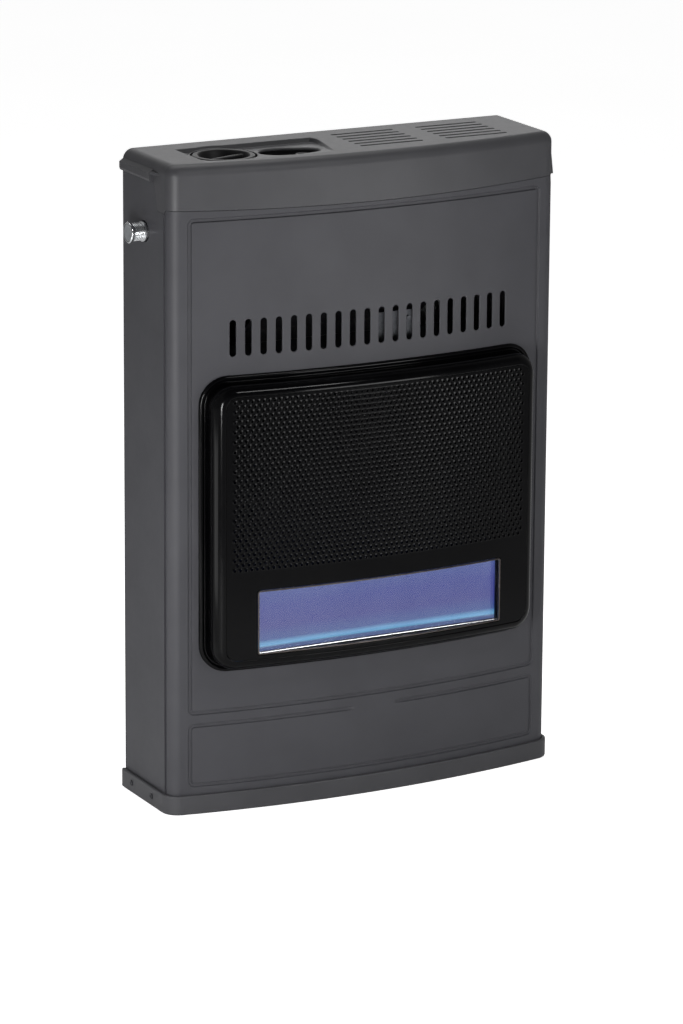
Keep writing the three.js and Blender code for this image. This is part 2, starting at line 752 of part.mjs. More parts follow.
function windowTrim() {
  const loop = (inset, proud) => roundedRectangle(-windowHalfWidth + inset, windowHalfWidth - inset,
    windowBottom + inset, windowTop - inset, windowCorner - inset, 3, 12)
    .map((p) => vec(p.x, bowY(p.x, proud), p.y));
  const outside = clearance;
  const inside = clearance + trimWidth;
  const back = domeHeight - domeSheet;
  const front = domeHeight + trimProud;
  return loopedRing([loop(outside, back), loop(outside, front - 0.5), loop(outside + 0.5, front),
    loop(inside - 0.4, front - 0.2), loop(inside, front - 0.8), loop(inside, back)]);
}

function windowFrame() {
  const lip = glassLap + frameLip;
  const outline = roundedRectangle(-windowHalfWidth - lip, windowHalfWidth + lip,
    windowBottom - lip, windowTop + lip, windowCorner);
  const opening = roundedRectangle(-windowHalfWidth, windowHalfWidth, windowBottom, windowTop, windowCorner);
  const reach = glassLap + glassSeat / 2;
  const pocket = block(-windowHalfWidth - reach, windowHalfWidth + reach, glassFrontY - clearance,
    0, windowBottom - reach, windowTop + reach);
  const reachForward = domeHeight - domeSheet - clearance;
  const behindFirefront = join(
    bowedSlab(bezelHalfWidth, reachForward, -half / 4, domeShoulderZ, bezelTop),
    bowedSlab(bezelHalfWidth, reachForward - frameToeStep, -half / 4, bezelBottom, bezelTop),
  );
  const sill = rodX(sillRadius + clearance, sillY, windowBottom + sillRadius / 2,
    -windowHalfWidth - 3, windowHalfWidth + 3, 12);
  const body = alongY(outline, -2 * half, glassBackY + 1.5, [opening]).intersect(behindFirefront);
  return cut(body, pocket, sill);
}

const windowGlass = () => block(-windowHalfWidth - glassLap, windowHalfWidth + glassLap, glassFrontY,
  glassBackY, windowBottom - glassLap, windowTop + glassLap);

const windowSill = () => rodX(sillRadius, sillY, windowBottom + sillRadius / 2,
  -windowHalfWidth - 2.5, windowHalfWidth + 2.5, 12);

// ---------------------------------------------------------------- firebox and burner
function firebox() {
  const frontY = bowY(fireboxHalfWidth + fireboxFlange) + sheet + clearance;
  const height = [fireboxBottom, fireboxTop];
  const wall = (side) => {
    const at = (a, b) => (side < 0 ? [-b, -a] : [a, b]);
    return join(
      block(...at(fireboxHalfWidth - sheet, fireboxHalfWidth), frontY, fireboxBackY, ...height),
      block(...at(fireboxHalfWidth - sheet, fireboxHalfWidth + fireboxFlange), frontY, frontY + sheet, ...height),
    );
  };
  const back = block(-fireboxHalfWidth, fireboxHalfWidth, fireboxBackY - sheet, fireboxBackY, ...height);
  const seat = rodX(burnerRadius + clearance, burnerY, burnerZ, -2 * half, 2 * half, 32);
  return cut(join(back, wall(-1), wall(1)), seat);
}

function burnerTube() {
  const reach = fireboxHalfWidth + burnerReach;
  const bore = burnerRadius - burnerWall;
  const ports = Array.from({ length: portCount }, (_, i) => {
    const x = (i - (portCount - 1) / 2) * portPitch;
    return block(x - portWidth / 2, x + portWidth / 2, burnerY - portLength / 2, burnerY + portLength / 2,
      burnerZ + bore / 2, burnerTopZ + 5);
  });
  return cut(
    rodX(burnerRadius, burnerY, burnerZ, -reach, reach, 32),
    rodX(bore, burnerY, burnerZ, -reach - 5, reach - burnerWall, 32),
    ...ports,
  );
}

function fireboxHanger(z) {
  const near = -sheet - clearance;
  const far = fireboxBackY + clearance;
  const points = [
    flat(near, z), flat(near, z + hangerFoot), flat(near - sheet, z + hangerFoot), flat(near - sheet, z + sheet),
    flat(far + sheet, z + sheet), flat(far + sheet, z + hangerFoot), flat(far, z + hangerFoot), flat(far, z),
  ];
  return alongX(points, -hangerHalfLength, hangerHalfLength);
}

function heatDeflector() {
  const base = fireboxTop + clearance;
  const y = fireboxBackY;
  const points = [
    flat(y, base), flat(y, base + deflectorLip), flat(y - deflectorReach, base + deflectorRise),
    flat(y - deflectorReach - sheet / 2, base + deflectorRise - sheet), flat(y - sheet, base + deflectorLip - sheet),
    flat(y - sheet, base),
  ];
  return alongX(points, -deflectorHalfWidth, deflectorHalfWidth);
}

function injector() {
  const seat = burnerEndX - injectorPlateSetback;
  return join(
    rodX(injectorHexRadius, burnerY, burnerZ, injectorEndX, seat - clearance, 6),
    rodX(injectorTipRadius, burnerY, burnerZ, injectorEndX + sheet, burnerEndX + injectorTipReach, 16),
  );
}

function injectorPlate() {
  const x0 = burnerEndX - injectorPlateSetback;
  const near = -sheet - clearance;
  const height = [burnerZ - injectorPlateReach, burnerZ + injectorPlateReach];
  const plate = block(x0, x0 + sheet, burnerY - injectorPlateReach, near, ...height);
  const foot = block(x0, x0 + injectorPlateFoot, near - sheet, near, ...height);
  const hole = rodX(injectorTipRadius + clearance, burnerY, burnerZ, x0 - sheet, x0 + 2 * sheet, 16);
  return cut(join(plate, foot), hole);
}

function pilotBracket() {
  const y0 = pilotY - pilotPlateReach;
  const y1 = fireboxBackY - sheet - clearance;
  const [x0, x1] = [pilotX - pilotPlateWidth / 2, pilotX + pilotPlateWidth / 2];
  const plate = join(
    block(x0, x1, y0, y1, pilotPlateZ, pilotPlateZ + sheet),
    block(x0, x1, y1 - sheet, y1, pilotPlateZ, pilotPlateZ + pilotPlateFoot),
  );
  const holes = [pilotBurnerRadius, electrodeRadius, thermocoupleRadius].map((radius, i) =>
    rodZ(radius + clearance, pilotX + (i - 1) * pilotSpacing, pilotY, pilotPlateZ - 5, pilotPlateZ + 5, 16));
  return cut(plate, ...holes);
}

// a pin with a small flange that sits on the pilot plate
function pilotPin(index, radius, top) {
  const x = pilotX + (index - 1) * pilotSpacing;
  const seat = pilotPlateZ + sheet + clearance;
  return join(
    rodZ(radius, x, pilotY, pilotPlateZ - pilotPinDrop, top, 16),
    rodZ(radius + pilotPinFlange, x, pilotY, seat, seat + pilotPinFlangeHeight, 16),
  );
}

// ---------------------------------------------------------------- bracket behind the air slots
function slotStrap() {
  const [x0, x1] = [strapMiddleX - strapWidth / 2, strapMiddleX + strapWidth / 2];
  const widest = Math.max(Math.abs(x0), Math.abs(x1));
  const footY = bowY(widest) + sheet + clearance;
  const points = [
    flat(footY, strapFootBottom), flat(footY, strapFootTop), flat(strapFaceY, strapFootTop),
    flat(strapFaceY, strapTop), flat(strapFaceY + strapFlange, strapTop), flat(strapFaceY + strapFlange, strapTop - sheet),
    flat(strapFaceY + sheet, strapTop - sheet), flat(strapFaceY + sheet, strapFootTop - sheet),
    flat(footY + sheet, strapFootTop - sheet), flat(footY + sheet, strapFootBottom),
  ];
  const hole = rodY(1.6 + clearance, strapScrewX, strapScrewZ, strapFaceY - 5, strapFaceY + 5, 16);
  return cut(alongX(points, x0, x1), hole);
}

const slotStrapScrew = () => join(
  rodY(3, strapScrewX, strapScrewZ, strapFaceY - clearance - 1.8, strapFaceY - clearance, 16),
  rodY(1.6, strapScrewX, strapScrewZ, strapFaceY - clearance - 1, strapFaceY + 6, 12),
);

// ---------------------------------------------------------------- knob and valve
function gasKnob() {
  const radius = knobHoleRadius - knobGap;
  const bottom = knobTop - knobHeight;
  const floor = knobTop - knobDishDepth;
  const body = turned([
    [0, bottom], [radius - 1, bottom], [radius, bottom + 1], [radius, knobTop - 1.2], [radius - 1.2, knobTop],
    [radius - knobRim + 1, knobTop], [radius - knobRim, knobTop - 1], [knobDishFloorRadius, floor + 1],
    [knobDishFloorRadius - 1, floor], [0, floor],
  ], knobX, knobY);
  const reach = radius - knobRim / 2;
  const bar = roundedRectangle(-reach, reach, -knobGripWidth / 2, knobGripWidth / 2, knobGripWidth / 2 - 0.01, 5)
    .map((p) => p.rotateAround(flat(0, 0), knobGripAngle * Math.PI / 180).add(flat(knobX, knobY)));
  const grip = alongZ(bar, bottom + 1, knobTop - 1.5).intersect(rodZ(radius - 1, knobX, knobY, bottom, knobTop, 48));
  const boss = rodZ(knobBossRadius, knobX, knobY, bottom - knobBossLength, bottom + 1, 32);
  const socket = rodZ(spindleRadius + clearance, knobX, knobY, bottom - knobBossLength - 5, floor, 24);
  return cut(join(body, grip, boss), socket);
}

function valveSpindle() {
  const top = knobTop - knobDishDepth - clearance;
  return join(
    rodZ(spindleRadius, knobX, knobY, bonnetTop - spindleInBonnet, top, 24),
    rodZ(collarRadius, knobX, knobY, collarZ, collarZ + collarThickness, 24),
  );
}

const springSeat = () => cut(
  rodZ(washerRadius, knobX, knobY, collarZ - clearance - washerThickness, collarZ - clearance, 32),
  rodZ(spindleRadius + clearance, knobX, knobY, collarZ - 9, collarZ, 24),
);

const spindleSpring = () => coilSpring(knobX, knobY, bonnetTop + clearance,
  collarZ - 2 * clearance - washerThickness, springRadius, springWire, springTurns);

function gasValveBody() {
  const [x0, x1] = [knobX - valveWidth / 2, knobX + valveWidth / 2];
  const [y0, y1] = [knobY - valveDepth / 2, knobY + valveDepth / 2];
  return cut(
    join(
      block(x0, x1, y0, y1, valveBottom, valveTop),
      rodZ(bonnetRadius, knobX, knobY, valveTop - 2, bonnetTop, 32),
      rodX(valveUnionRadius, inletY, inletZ, x0 - valveUnionReach, x0 + pipeWall, 6),
    ),
    rodZ(spindleRadius + clearance, knobX, knobY, bonnetTop - spindleBoreDepth, bonnetTop + 5, 24),
    rodX(pipeRadius - pipeWall, inletY, inletZ, x0 - 2 * valveUnionReach, knobX, 16),
    rodZ(pipeRadius - pipeWall, knobX, feedPipeY, valveBottom - 5, inletZ, 16),
  );
}

function valveBracket() {
  const shelf = valveBottom - clearance;
  const [x0, x1] = [-1, 1].map((side) => knobX + side * (valveWidth / 2 + shelfMargin));
  const near = -sheet - clearance;
  const low = shelf - bracketSheet;
  return cut(
    join(
      block(x0, x1, knobY - valveDepth / 2, near, low, shelf),
      block(x0, x1, near - bracketSheet, near, low, low + shelfFoot),
    ),
    rodZ(pipeRadius + 1, knobX, feedPipeY, shelf - 5, shelf + 5, 24),
  );
}

// ---------------------------------------------------------------- igniter
function piezoBody() {
  const top = wellFloor - clearance;
  return cut(
    rodZ(igniterRadius, wellSmallX, wellSmallY, top - igniterLength, top, 32),
    rodZ(buttonRadius + buttonShoulder + clearance, wellSmallX, wellSmallY, top - igniterBoreDepth, top + 5, 32),
  );
}

function piezoButton() {
  const shoulderTop = wellFloor - clearance;
  const bottom = shoulderTop - buttonSkirt;
  return turned([
    [0, bottom], [buttonRadius + buttonShoulder, bottom], [buttonRadius + buttonShoulder, shoulderTop],
    [buttonRadius, shoulderTop], [buttonRadius, buttonTop - 1], [buttonRadius - 1, buttonTop],
    [buttonRadius - 2.5, buttonTop], [0, buttonTop - 0.8],
  ], wellSmallX, wellSmallY, 24);
}

function buttonSpring() {
  const top = wellFloor - clearance;
  const z0 = top - igniterBoreDepth + clearance;
  return coilSpring(wellSmallX, wellSmallY, z0, top - buttonSkirt - clearance, springRadius, springWire, springTurns);
}

// ---------------------------------------------------------------- gas inlet and pipes
const collarX = -half + inletPlateGap;

function gasInletFitting() {
  const end = -half - inletReach;
  return cut(
    join(
      rodX(inletRadius, inletY, inletZ, end, -half + inletInner, 36),
      rodX(inletCollarRadius, inletY, inletZ, collarX, collarX + inletCollarThickness, 6),
    ),
    rodX(plugFlangeRadius + clearance, inletY, inletZ, end - 5, end + plugFlangeThickness + 2 * clearance, 32),
    rodX(inletBore, inletY, inletZ, end - 5, -half, 32),
    rodX(inletThroat, inletY, inletZ, -half - 5, -half + inletInner + 5, 20),
  );
}

function inletPlate() {
  const x0 = collarX + inletCollarThickness + clearance;
  const near = -2 * (sheet + clearance);
  const reach = inletCollarRadius + inletPlateMargin;
  const height = [inletZ - reach, inletZ + reach];
  return cut(
    join(
      block(x0, x0 + bracketSheet, inletY - reach, near, ...height),
      block(x0, x0 + inletPlateFoot, near - bracketSheet, near, ...height),
    ),
    rodX(inletRadius + clearance, inletY, inletZ, x0 - bracketSheet, x0 + 2 * bracketSheet, 36),
  );
}

function inletLockNut() {
  const x0 = collarX + inletCollarThickness + bracketSheet + 2 * clearance;
  return cut(
    rodX(nutAcross / Math.sqrt(3), inletY, inletZ, x0, x0 + nutThickness, 6),
    rodX(inletRadius + clearance, inletY, inletZ, x0 - 5, x0 + nutThickness + 5, 36),
  );
}

function inletPlug() {
  const end = -half - inletReach + clearance;
  return join(
    rodX(plugFlangeRadius, inletY, inletZ, end, end + plugFlangeThickness, 32),
    rodX(inletBore - clearance, inletY, inletZ, end + plugFlangeThickness / 2, end + plugDepth, 32),
  );
}

function inletPipe() {
  const x0 = -half + inletInner + clearance;
  const x1 = knobX - valveWidth / 2 - valveUnionReach - clearance;
  return cut(rodX(pipeRadius, inletY, inletZ, x0, x1), rodX(pipeRadius - pipeWall, inletY, inletZ, x0 - 5, x1 + 5));
}

const feedPipe = () => pipe([
  vec(knobX, feedPipeY, valveBottom - clearance),
  vec(knobX, feedPipeY, valveBottom - feedPipeDrop),
  vec(feedPipeX, feedPipeY, valveBottom - feedPipeDrop),
  vec(feedPipeX, feedPipeY, burnerZ + feedPipeSlant),
  vec(feedPipeX, burnerY, burnerZ),
  vec(injectorEndX - clearance, burnerY, burnerZ),
], pipeRadius, pipeWall, pipeBend);

// ---------------------------------------------------------------- screws
function trayScrew(side, y) {
  const headSeat = half + trayOverhang + clearance;
  const head = rodX(screwHead, y, trayScrewHeight, side * headSeat, side * (headSeat + 0.9), 20);
  const shank = rodX(screwShank, y, trayScrewHeight, side * (half - 6), side * (headSeat + 0.5), 12);
  return join(head, shank);
}

// ---------------------------------------------------------------- assembly
const heater = new THREE.Group();
heater.name = 'gas_heater';
heater.position.z = -keyholeHeight;

function add(name, manifold, material) {
  const { vertProperties, triVerts, numProp } = manifold.getMesh();
  const geometry = new THREE.BufferGeometry();
  const positions = new Float32Array(triVerts.length * 3);
  triVerts.forEach((corner, i) => {
    for (let k = 0; k < 3; k += 1) positions[3 * i + k] = vertProperties[corner * numProp + k];
  });
  geometry.setAttribute('position', new THREE.BufferAttribute(positions, 3));
  geometry.computeVertexNormals();
  const mesh = new THREE.Mesh(geometry, material);
  mesh.name = name;
  heater.add(mesh);
}

add('base_tray', baseTray(), finish.moulding());
add('rear_panel', rearPanel(), finish.steel());
add('left_side_panel', sidePanel(-1), finish.casing());
add('right_side_panel', sidePanel(1), finish.casing());
add('front_panel', frontPanel(), finish.casing());
add('top_cap', topCap(), finish.moulding());
add('bezel_frame', bezelFrame(), finish.firefront());
add('grille_panel', grillePanel(), finish.firefront());
add('window_trim', windowTrim(), finish.bright());
add('window_frame', windowFrame(), finish.blackened());
add('window_glass', windowGlass(), finish.glass());
add('window_sill', windowSill(), finish.bright());
add('firebox', firebox(), finish.blackened());
add('upper_firebox_hanger', fireboxHanger(upperHangerZ), finish.steel());
add('lower_firebox_hanger', fireboxHanger(lowerHangerZ), finish.steel());
add('heat_deflector', heatDeflector(), finish.blackened());
add('burner_tube', burnerTube(), finish.steel());
add('injector', injector(), finish.brass());
add('injector_plate', injectorPlate(), finish.steel());
add('pilot_bracket', pilotBracket(), finish.steel());
add('pilot_burner', pilotPin(0, pilotBurnerRadius, pilotTop - pilotBurnerDrop), finish.brass());
add('spark_electrode', pilotPin(1, electrodeRadius, pilotTop), finish.ceramic());
add('thermocouple', pilotPin(2, thermocoupleRadius, pilotTop - thermocoupleDrop), finish.steel());
add('slot_strap', slotStrap(), finish.aluminium());
add('slot_strap_screw', slotStrapScrew(), finish.bright());
add('gas_valve_body', gasValveBody(), finish.aluminium());
add('valve_bracket', valveBracket(), finish.steel());
add('valve_spindle', valveSpindle(), finish.brass());
add('spring_seat', springSeat(), finish.steel());
add('spindle_spring', spindleSpring(), finish.steel());
add('gas_knob', gasKnob(), finish.control());
add('piezo_body', piezoBody(), finish.control());
add('piezo_button', piezoButton(), finish.control());
add('button_spring', buttonSpring(), finish.steel());
add('gas_inlet_fitting', gasInletFitting(), finish.bright());
add('inlet_plate', inletPlate(), finish.steel());
add('inlet_lock_nut', inletLockNut(), finish.brass());
add('inlet_plug', inletPlug(), finish.plug());
add('inlet_pipe', inletPipe(), finish.aluminium());
add('feed_pipe', feedPipe(), finish.aluminium());
for (const [side, end] of [[-1, 'left'], [1, 'right']]) {
  trayScrewPlaces.forEach((y, i) => {
    add(`${end}_tray_screw_${i + 1}`, trayScrew(side, y), finish.bright());
  });
}

export default heater;
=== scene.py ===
# %% [markdown]
# # A wall mounted gas heater
# The heater is a bowed steel box with a moulded cap and tray. A black domed
# firefront stands out of it, with a window over the burner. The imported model
# gives the fixed frame, and each cell below dresses one piece of it.

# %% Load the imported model
import json
import math

import bmesh
import bpy
import numpy as np
from mathutils import Matrix, Vector
from mathutils.geometry import delaunay_2d_cdt
from mathutils.kdtree import KDTree


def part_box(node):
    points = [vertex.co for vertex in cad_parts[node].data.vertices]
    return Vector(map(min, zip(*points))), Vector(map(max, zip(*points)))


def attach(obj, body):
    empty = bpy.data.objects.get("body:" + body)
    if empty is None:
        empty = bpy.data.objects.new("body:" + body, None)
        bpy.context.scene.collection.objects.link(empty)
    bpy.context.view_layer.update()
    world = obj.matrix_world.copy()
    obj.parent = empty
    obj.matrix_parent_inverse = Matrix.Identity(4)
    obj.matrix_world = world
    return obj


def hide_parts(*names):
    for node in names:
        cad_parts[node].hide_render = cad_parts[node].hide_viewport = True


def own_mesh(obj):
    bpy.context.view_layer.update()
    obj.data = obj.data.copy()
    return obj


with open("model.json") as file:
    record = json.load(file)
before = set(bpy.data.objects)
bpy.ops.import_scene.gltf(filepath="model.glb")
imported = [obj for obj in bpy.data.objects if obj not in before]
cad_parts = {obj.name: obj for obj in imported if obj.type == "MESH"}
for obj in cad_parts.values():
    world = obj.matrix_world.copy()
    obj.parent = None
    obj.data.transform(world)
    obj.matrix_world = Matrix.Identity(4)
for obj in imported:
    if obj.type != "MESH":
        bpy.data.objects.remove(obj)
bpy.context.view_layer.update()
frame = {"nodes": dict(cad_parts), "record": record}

# %% [markdown]
# ## The sizes that the pieces share
# All lengths are in millimetres with the height counted from the underside of
# the tray, as a fitter would measure them. The model's own origin is higher up,
# between the two hanging keyholes, so one function moves a point there.

# %% Shared sizes
HANG_HEIGHT = 590.0
BODY_HALF, BOW_RISE, BOW_END = 215.0, 21.4, 104.0
CORNER = 14.0
BOW_RADIUS = (BODY_HALF**2 + BOW_RISE**2) / (2 * BOW_RISE)
BOW_CENTRE = BOW_RADIUS - BOW_RISE - BOW_END
CORNER_X = BODY_HALF - CORNER
CORNER_Y = BOW_CENTRE - math.sqrt((BOW_RADIUS - CORNER) ** 2 - CORNER_X**2)
CORNER_TURN = math.asin(CORNER_X / (BOW_RADIUS - CORNER))
BOW_LENGTH = BOW_RADIUS * CORNER_TURN
CORNER_END = BOW_LENGTH + CORNER * (math.pi / 2 - CORNER_TURN)
SIDE_END = CORNER_END - CORNER_Y
PANEL_FOOT, SEAM, SEAM_RISE, TOP = 3.3, 609.0, 3.8, 657.0
SHEET = 1.2


def metres(points):
    """Points in millimetres from the tray's underside, as metres in the model's frame."""
    return (np.asarray(points, float) - [0, 0, HANG_HEIGHT]) / 1000.0


def plan(s, out=0.0):
    """The casing's outline from above: s runs along it from the middle of the bow, out moves it outwards."""
    a, side = np.abs(s), np.where(np.asarray(s) < 0, -1.0, 1.0)
    turn = np.where(a <= BOW_LENGTH, a / BOW_RADIUS, CORNER_TURN + (a - BOW_LENGTH) / CORNER)
    turn = np.minimum(turn, math.pi / 2)
    bow_x, bow_y = (BOW_RADIUS + out) * np.sin(turn), BOW_CENTRE - (BOW_RADIUS + out) * np.cos(turn)
    round_x, round_y = CORNER_X + (CORNER + out) * np.sin(turn), CORNER_Y - (CORNER + out) * np.cos(turn)
    x = np.where(a <= BOW_LENGTH, bow_x, round_x)
    y = np.where(a <= BOW_LENGTH, bow_y, round_y + np.maximum(a - CORNER_END, 0))
    return x * side, y


def bow_y(x, proud=0.0):
    """The bowed front face at x, moved forward by proud."""
    return BOW_CENTRE - np.sqrt(BOW_RADIUS**2 - np.asarray(x, float) ** 2) - proud


def along(x):
    """The place s on the outline that lies at x on the bow."""
    return BOW_RADIUS * np.arcsin(np.asarray(x, float) / BOW_RADIUS)


print("bow radius", round(BOW_RADIUS, 1), "corner centre", CORNER_X, round(CORNER_Y, 1))

# %% [markdown]
# ## Turning shapes into meshes
# Each surface is worked out with numpy as a patch: its points, its faces and
# the direction each point faces. Patches that meet share their points once they
# are welded, and every corner keeps the direction its own patch gave it, so
# round edges look round and creases stay crisp without a dense mesh.

# %% Patches and meshes
def unit(v):
    return v / np.maximum(np.linalg.norm(v, axis=-1, keepdims=True), 1e-12)


def grid(points, ring_rows=False, ring_columns=False, facing=None):
    """A patch over a grid of points. facing gives rough outward directions; without it, it is closed."""
    p = np.asarray(points, float)
    rows, columns, _ = p.shape
    down = np.roll(p, -1, 0) - np.roll(p, 1, 0) if ring_rows else np.gradient(p, axis=0)
    across = np.roll(p, -1, 1) - np.roll(p, 1, 1) if ring_columns else np.gradient(p, axis=1)
    normal = np.cross(down, across)
    for pole, near in ((0, 1), (-1, -2)):
        if np.linalg.norm(normal[pole], axis=-1).max() < 1e-6:
            normal[pole] = unit(normal[near]).mean(axis=0)
    normal = unit(normal)
    i, j = np.meshgrid(np.arange(rows if ring_rows else rows - 1),
                       np.arange(columns if ring_columns else columns - 1), indexing="ij")
    i, j, k, l = i.ravel(), j.ravel(), (i.ravel() + 1) % rows, (j.ravel() + 1) % columns
    faces = np.stack([i * columns + j, k * columns + j, k * columns + l, i * columns + l], axis=1)
    flat = p.reshape(-1, 3)
    if facing is None:
        a, b, c = flat[faces[:, 0]], flat[faces[:, 1]], flat[faces[:, 2]]
        d = flat[faces[:, 3]]
        sense = np.einsum("ij,ij->i", a, np.cross(b, c) + np.cross(c, d)).sum()
    else:
        sense = (normal * facing(p)).sum()
    if sense < 0:
        faces, normal = faces[:, ::-1], -normal
    return flat, faces, normal.reshape(-1, 3)


def toward(x, y, z):
    return lambda p: np.broadcast_to(np.array([x, y, z], float), p.shape)


def triangulate(loops, fill, keep, room):
    """Triangles over a flat region: they follow the loops, use the fill points, and keep picks what stays."""
    points, edges = [], []
    for loop in loops:
        first = len(points)
        points += [tuple(p) for p in loop]
        edges += [(first + i, first + (i + 1) % len(loop)) for i in range(len(loop))]
    tree = KDTree(len(points))
    for i, p in enumerate(points):
        tree.insert((p[0], p[1], 0), i)
    tree.balance()
    points += [tuple(p) for p in fill if tree.find((p[0], p[1], 0))[2] > room]
    found = delaunay_2d_cdt([Vector(p) for p in points], edges, [], 0, 1e-5, False)
    uv = np.array([tuple(v) for v in found[0]])
    faces = np.array([f for f in found[2] if len(f) == 3])
    return uv, faces[keep(uv[faces].mean(axis=1))]


def skin(surface, under, loops, fill, keep, facing, room=2.0, rimmed=None, step=0.02):
    """A sheet: surface and under are its two sides over a flat region. Rims close the edges rimmed picks."""
    uv, faces = triangulate(loops, fill, keep, room)
    top, low = surface(uv), under(uv)
    slope = [surface(uv + d) - surface(uv - d) for d in (np.array([step, 0]), np.array([0, step]))]
    normal = unit(np.cross(*slope))
    if (normal * facing(top)).sum() < 0:
        normal = -normal
    lie = np.cross(top[faces[:, 1]] - top[faces[:, 0]], top[faces[:, 2]] - top[faces[:, 0]])
    wrong = np.einsum("ij,ij->i", lie, normal[faces].sum(axis=1)) < 0
    faces[wrong] = faces[wrong][:, ::-1]
    flat_normal = unit(top - low)
    sides = {}
    for a, b in np.concatenate([faces[:, [0, 1]], faces[:, [1, 2]], faces[:, [2, 0]]]).tolist():
        sides[(a, b)] = True
    open_edges = [e for e in sides if (e[1], e[0]) not in sides]
    if rimmed is not None:
        open_edges = [e for e in open_edges if rimmed((uv[e[0]] + uv[e[1]]) / 2)]
    rim = np.array([[top[a], low[a], low[b], top[b]] for a, b in open_edges]).reshape(-1, 3)
    rim_faces = np.arange(len(rim)).reshape(-1, 4)
    turned = np.cross(rim[1::4] - rim[0::4], rim[2::4] - rim[1::4])
    return [(top, faces, normal), (low, faces[:, ::-1], -flat_normal),
            (rim, rim_faces, np.repeat(unit(turned), 4, axis=0))]


def build(name, patches, material):
    """Welds patches into one object at the origin, with each corner facing as its patch says."""
    points = np.concatenate([p for p, _, _ in patches])
    keys = np.round(points / 0.002).astype(np.int64)
    _, first, welded = np.unique(keys, axis=0, return_index=True, return_inverse=True)
    welded = welded.ravel()
    faces, facing, start = [], [], 0
    for p, patch_faces, normal in patches:
        for face in np.asarray(patch_faces).tolist():
            ids = [int(welded[start + k]) for k in face]
            keep = [i for i in range(len(ids)) if ids[i] != ids[i - 1]]
            if len(keep) > 2 and len({ids[i] for i in keep}) == len(keep):
                faces.append([ids[i] for i in keep])
                facing += [tuple(normal[face[i]]) for i in keep]
        start += len(p)
    mesh = bpy.data.meshes.new(name)
    mesh.from_pydata(metres(points[first]).tolist(), [], faces)
    mesh.polygons.foreach_set("use_smooth", [True] * len(mesh.polygons))
    mesh.normals_split_custom_set(facing)
    mesh.materials.append(material)
    piece = bpy.data.objects.new(name, mesh)
    bpy.context.scene.collection.objects.link(piece)
    print(name, len(mesh.polygons), "faces")
    return piece


def turned(profile, x, y, sides=96, axis="Z"):
    """A closed body of revolution from (radius, height) pairs, its height along Z or X through (x, y)."""
    angle = np.linspace(0, 2 * math.pi, sides, endpoint=False)
    r, h = np.array(profile, float).T
    a, b = np.outer(r, np.cos(angle)), np.outer(r, np.sin(angle))
    height = np.repeat(h[:, None], sides, axis=1)
    parts = [a + x, b + y, height] if axis == "Z" else [height, a + x, b + y]
    return grid(np.stack(parts, axis=-1), ring_columns=True)


def arc(cx, cy, radius, start, end, steps):
    """Points of an arc, in degrees."""
    t = np.radians(np.linspace(start, end, steps + 1))
    return [(cx + radius * math.cos(a), cy + radius * math.sin(a)) for a in t]


def rounded_loop(x0, x1, z0, z1, radius, corner_steps=8, spacing=6.0):
    """A rounded rectangle as points no further apart than spacing."""
    corners = [(x1 - radius, z1 - radius, 0), (x0 + radius, z1 - radius, 90),
               (x0 + radius, z0 + radius, 180), (x1 - radius, z0 + radius, 270)]
    points = [p for cx, cz, start in corners for p in arc(cx, cz, radius, start, start + 90, corner_steps)]
    loop = []
    for a, b in zip(points, points[1:] + points[:1]):
        parts = max(1, int(math.ceil(math.dist(a, b) / spacing)))
        loop += [(a[0] + (b[0] - a[0]) * k / parts, a[1] + (b[1] - a[1]) * k / parts) for k in range(parts)]
    return np.array([p for i, p in enumerate(loop) if math.dist(p, loop[i - 1]) > 1e-6])


def rounded_distance(p, x0, x1, z0, z1, radius):
    """How far points lie outside a rounded rectangle, negative inside."""
    q = np.abs(p - [(x0 + x1) / 2, (z0 + z1) / 2]) - [(x1 - x0) / 2 - radius, (z1 - z0) / 2 - radius]
    return np.linalg.norm(np.maximum(q, 0), axis=-1) + np.minimum(q.max(axis=-1), 0) - radius


def roll(distance, radius):
    """How far a rounded edge has dropped at a distance from the edge."""
    near = np.clip(radius - distance, 0, radius)
    return radius - np.sqrt(np.maximum(radius**2 - near**2, 0))


def smooth(t):
    t = np.clip(t, 0, 1)
    return t * t * (3 - 2 * t)


# %% [markdown]
# ## Finishes
# A finish starts from what the real surface is. Colours are written as sRGB hex
# values, as a designer picks them, and one function turns them to the linear
# values that the renderer works with. A second function adds one shader node.

# %% Colour and node helpers
def linear(code, alpha=1.0):
    parts = [int(code[i:i + 2], 16) / 255 for i in (1, 3, 5)]
    return (*[c / 12.92 if c <= 0.04045 else ((c + 0.055) / 1.055) ** 2.4 for c in parts], alpha)


def add(tree, kind, settings=None, links=None):
    """Adds a node: settings are its properties or input values, links maps its inputs to other outputs."""
    node = tree.nodes.new(kind)
    for key, value in (settings or {}).items():
        if isinstance(key, str) and hasattr(node, key):
            setattr(node, key, value)
        else:
            node.inputs[key].default_value = value
    for key, source in (links or {}).items():
        tree.links.new(source, node.inputs[key])
    return node


def finish(name, colour, roughness, metallic=0.0, **sockets):
    """A material with a Principled shader, its constants set on the shader's own sockets."""
    material = bpy.data.materials.new(name)
    material.use_nodes = True
    shader = material.node_tree.nodes["Principled BSDF"]
    shader.inputs["Base Color"].default_value = linear(colour)
    shader.inputs["Roughness"].default_value = roughness
    shader.inputs["Metallic"].default_value = metallic
    for key, value in sockets.items():
        shader.inputs[key.replace("_", " ")].default_value = value
    return material, material.node_tree, shader


def grain(tree, size_mm, detail=2.0, stretch=(1, 1, 1)):
    """A noise pattern on Object coordinates whose lumps are about size_mm across."""
    place = add(tree, "ShaderNodeTexCoord")
    mapping = add(tree, "ShaderNodeMapping", {"Scale": stretch}, {"Vector": place.outputs["Object"]})
    return add(tree, "ShaderNodeTexNoise", {"Scale": 1000.0 / size_mm, "Detail": detail},
               {"Vector": mapping.outputs["Vector"]})


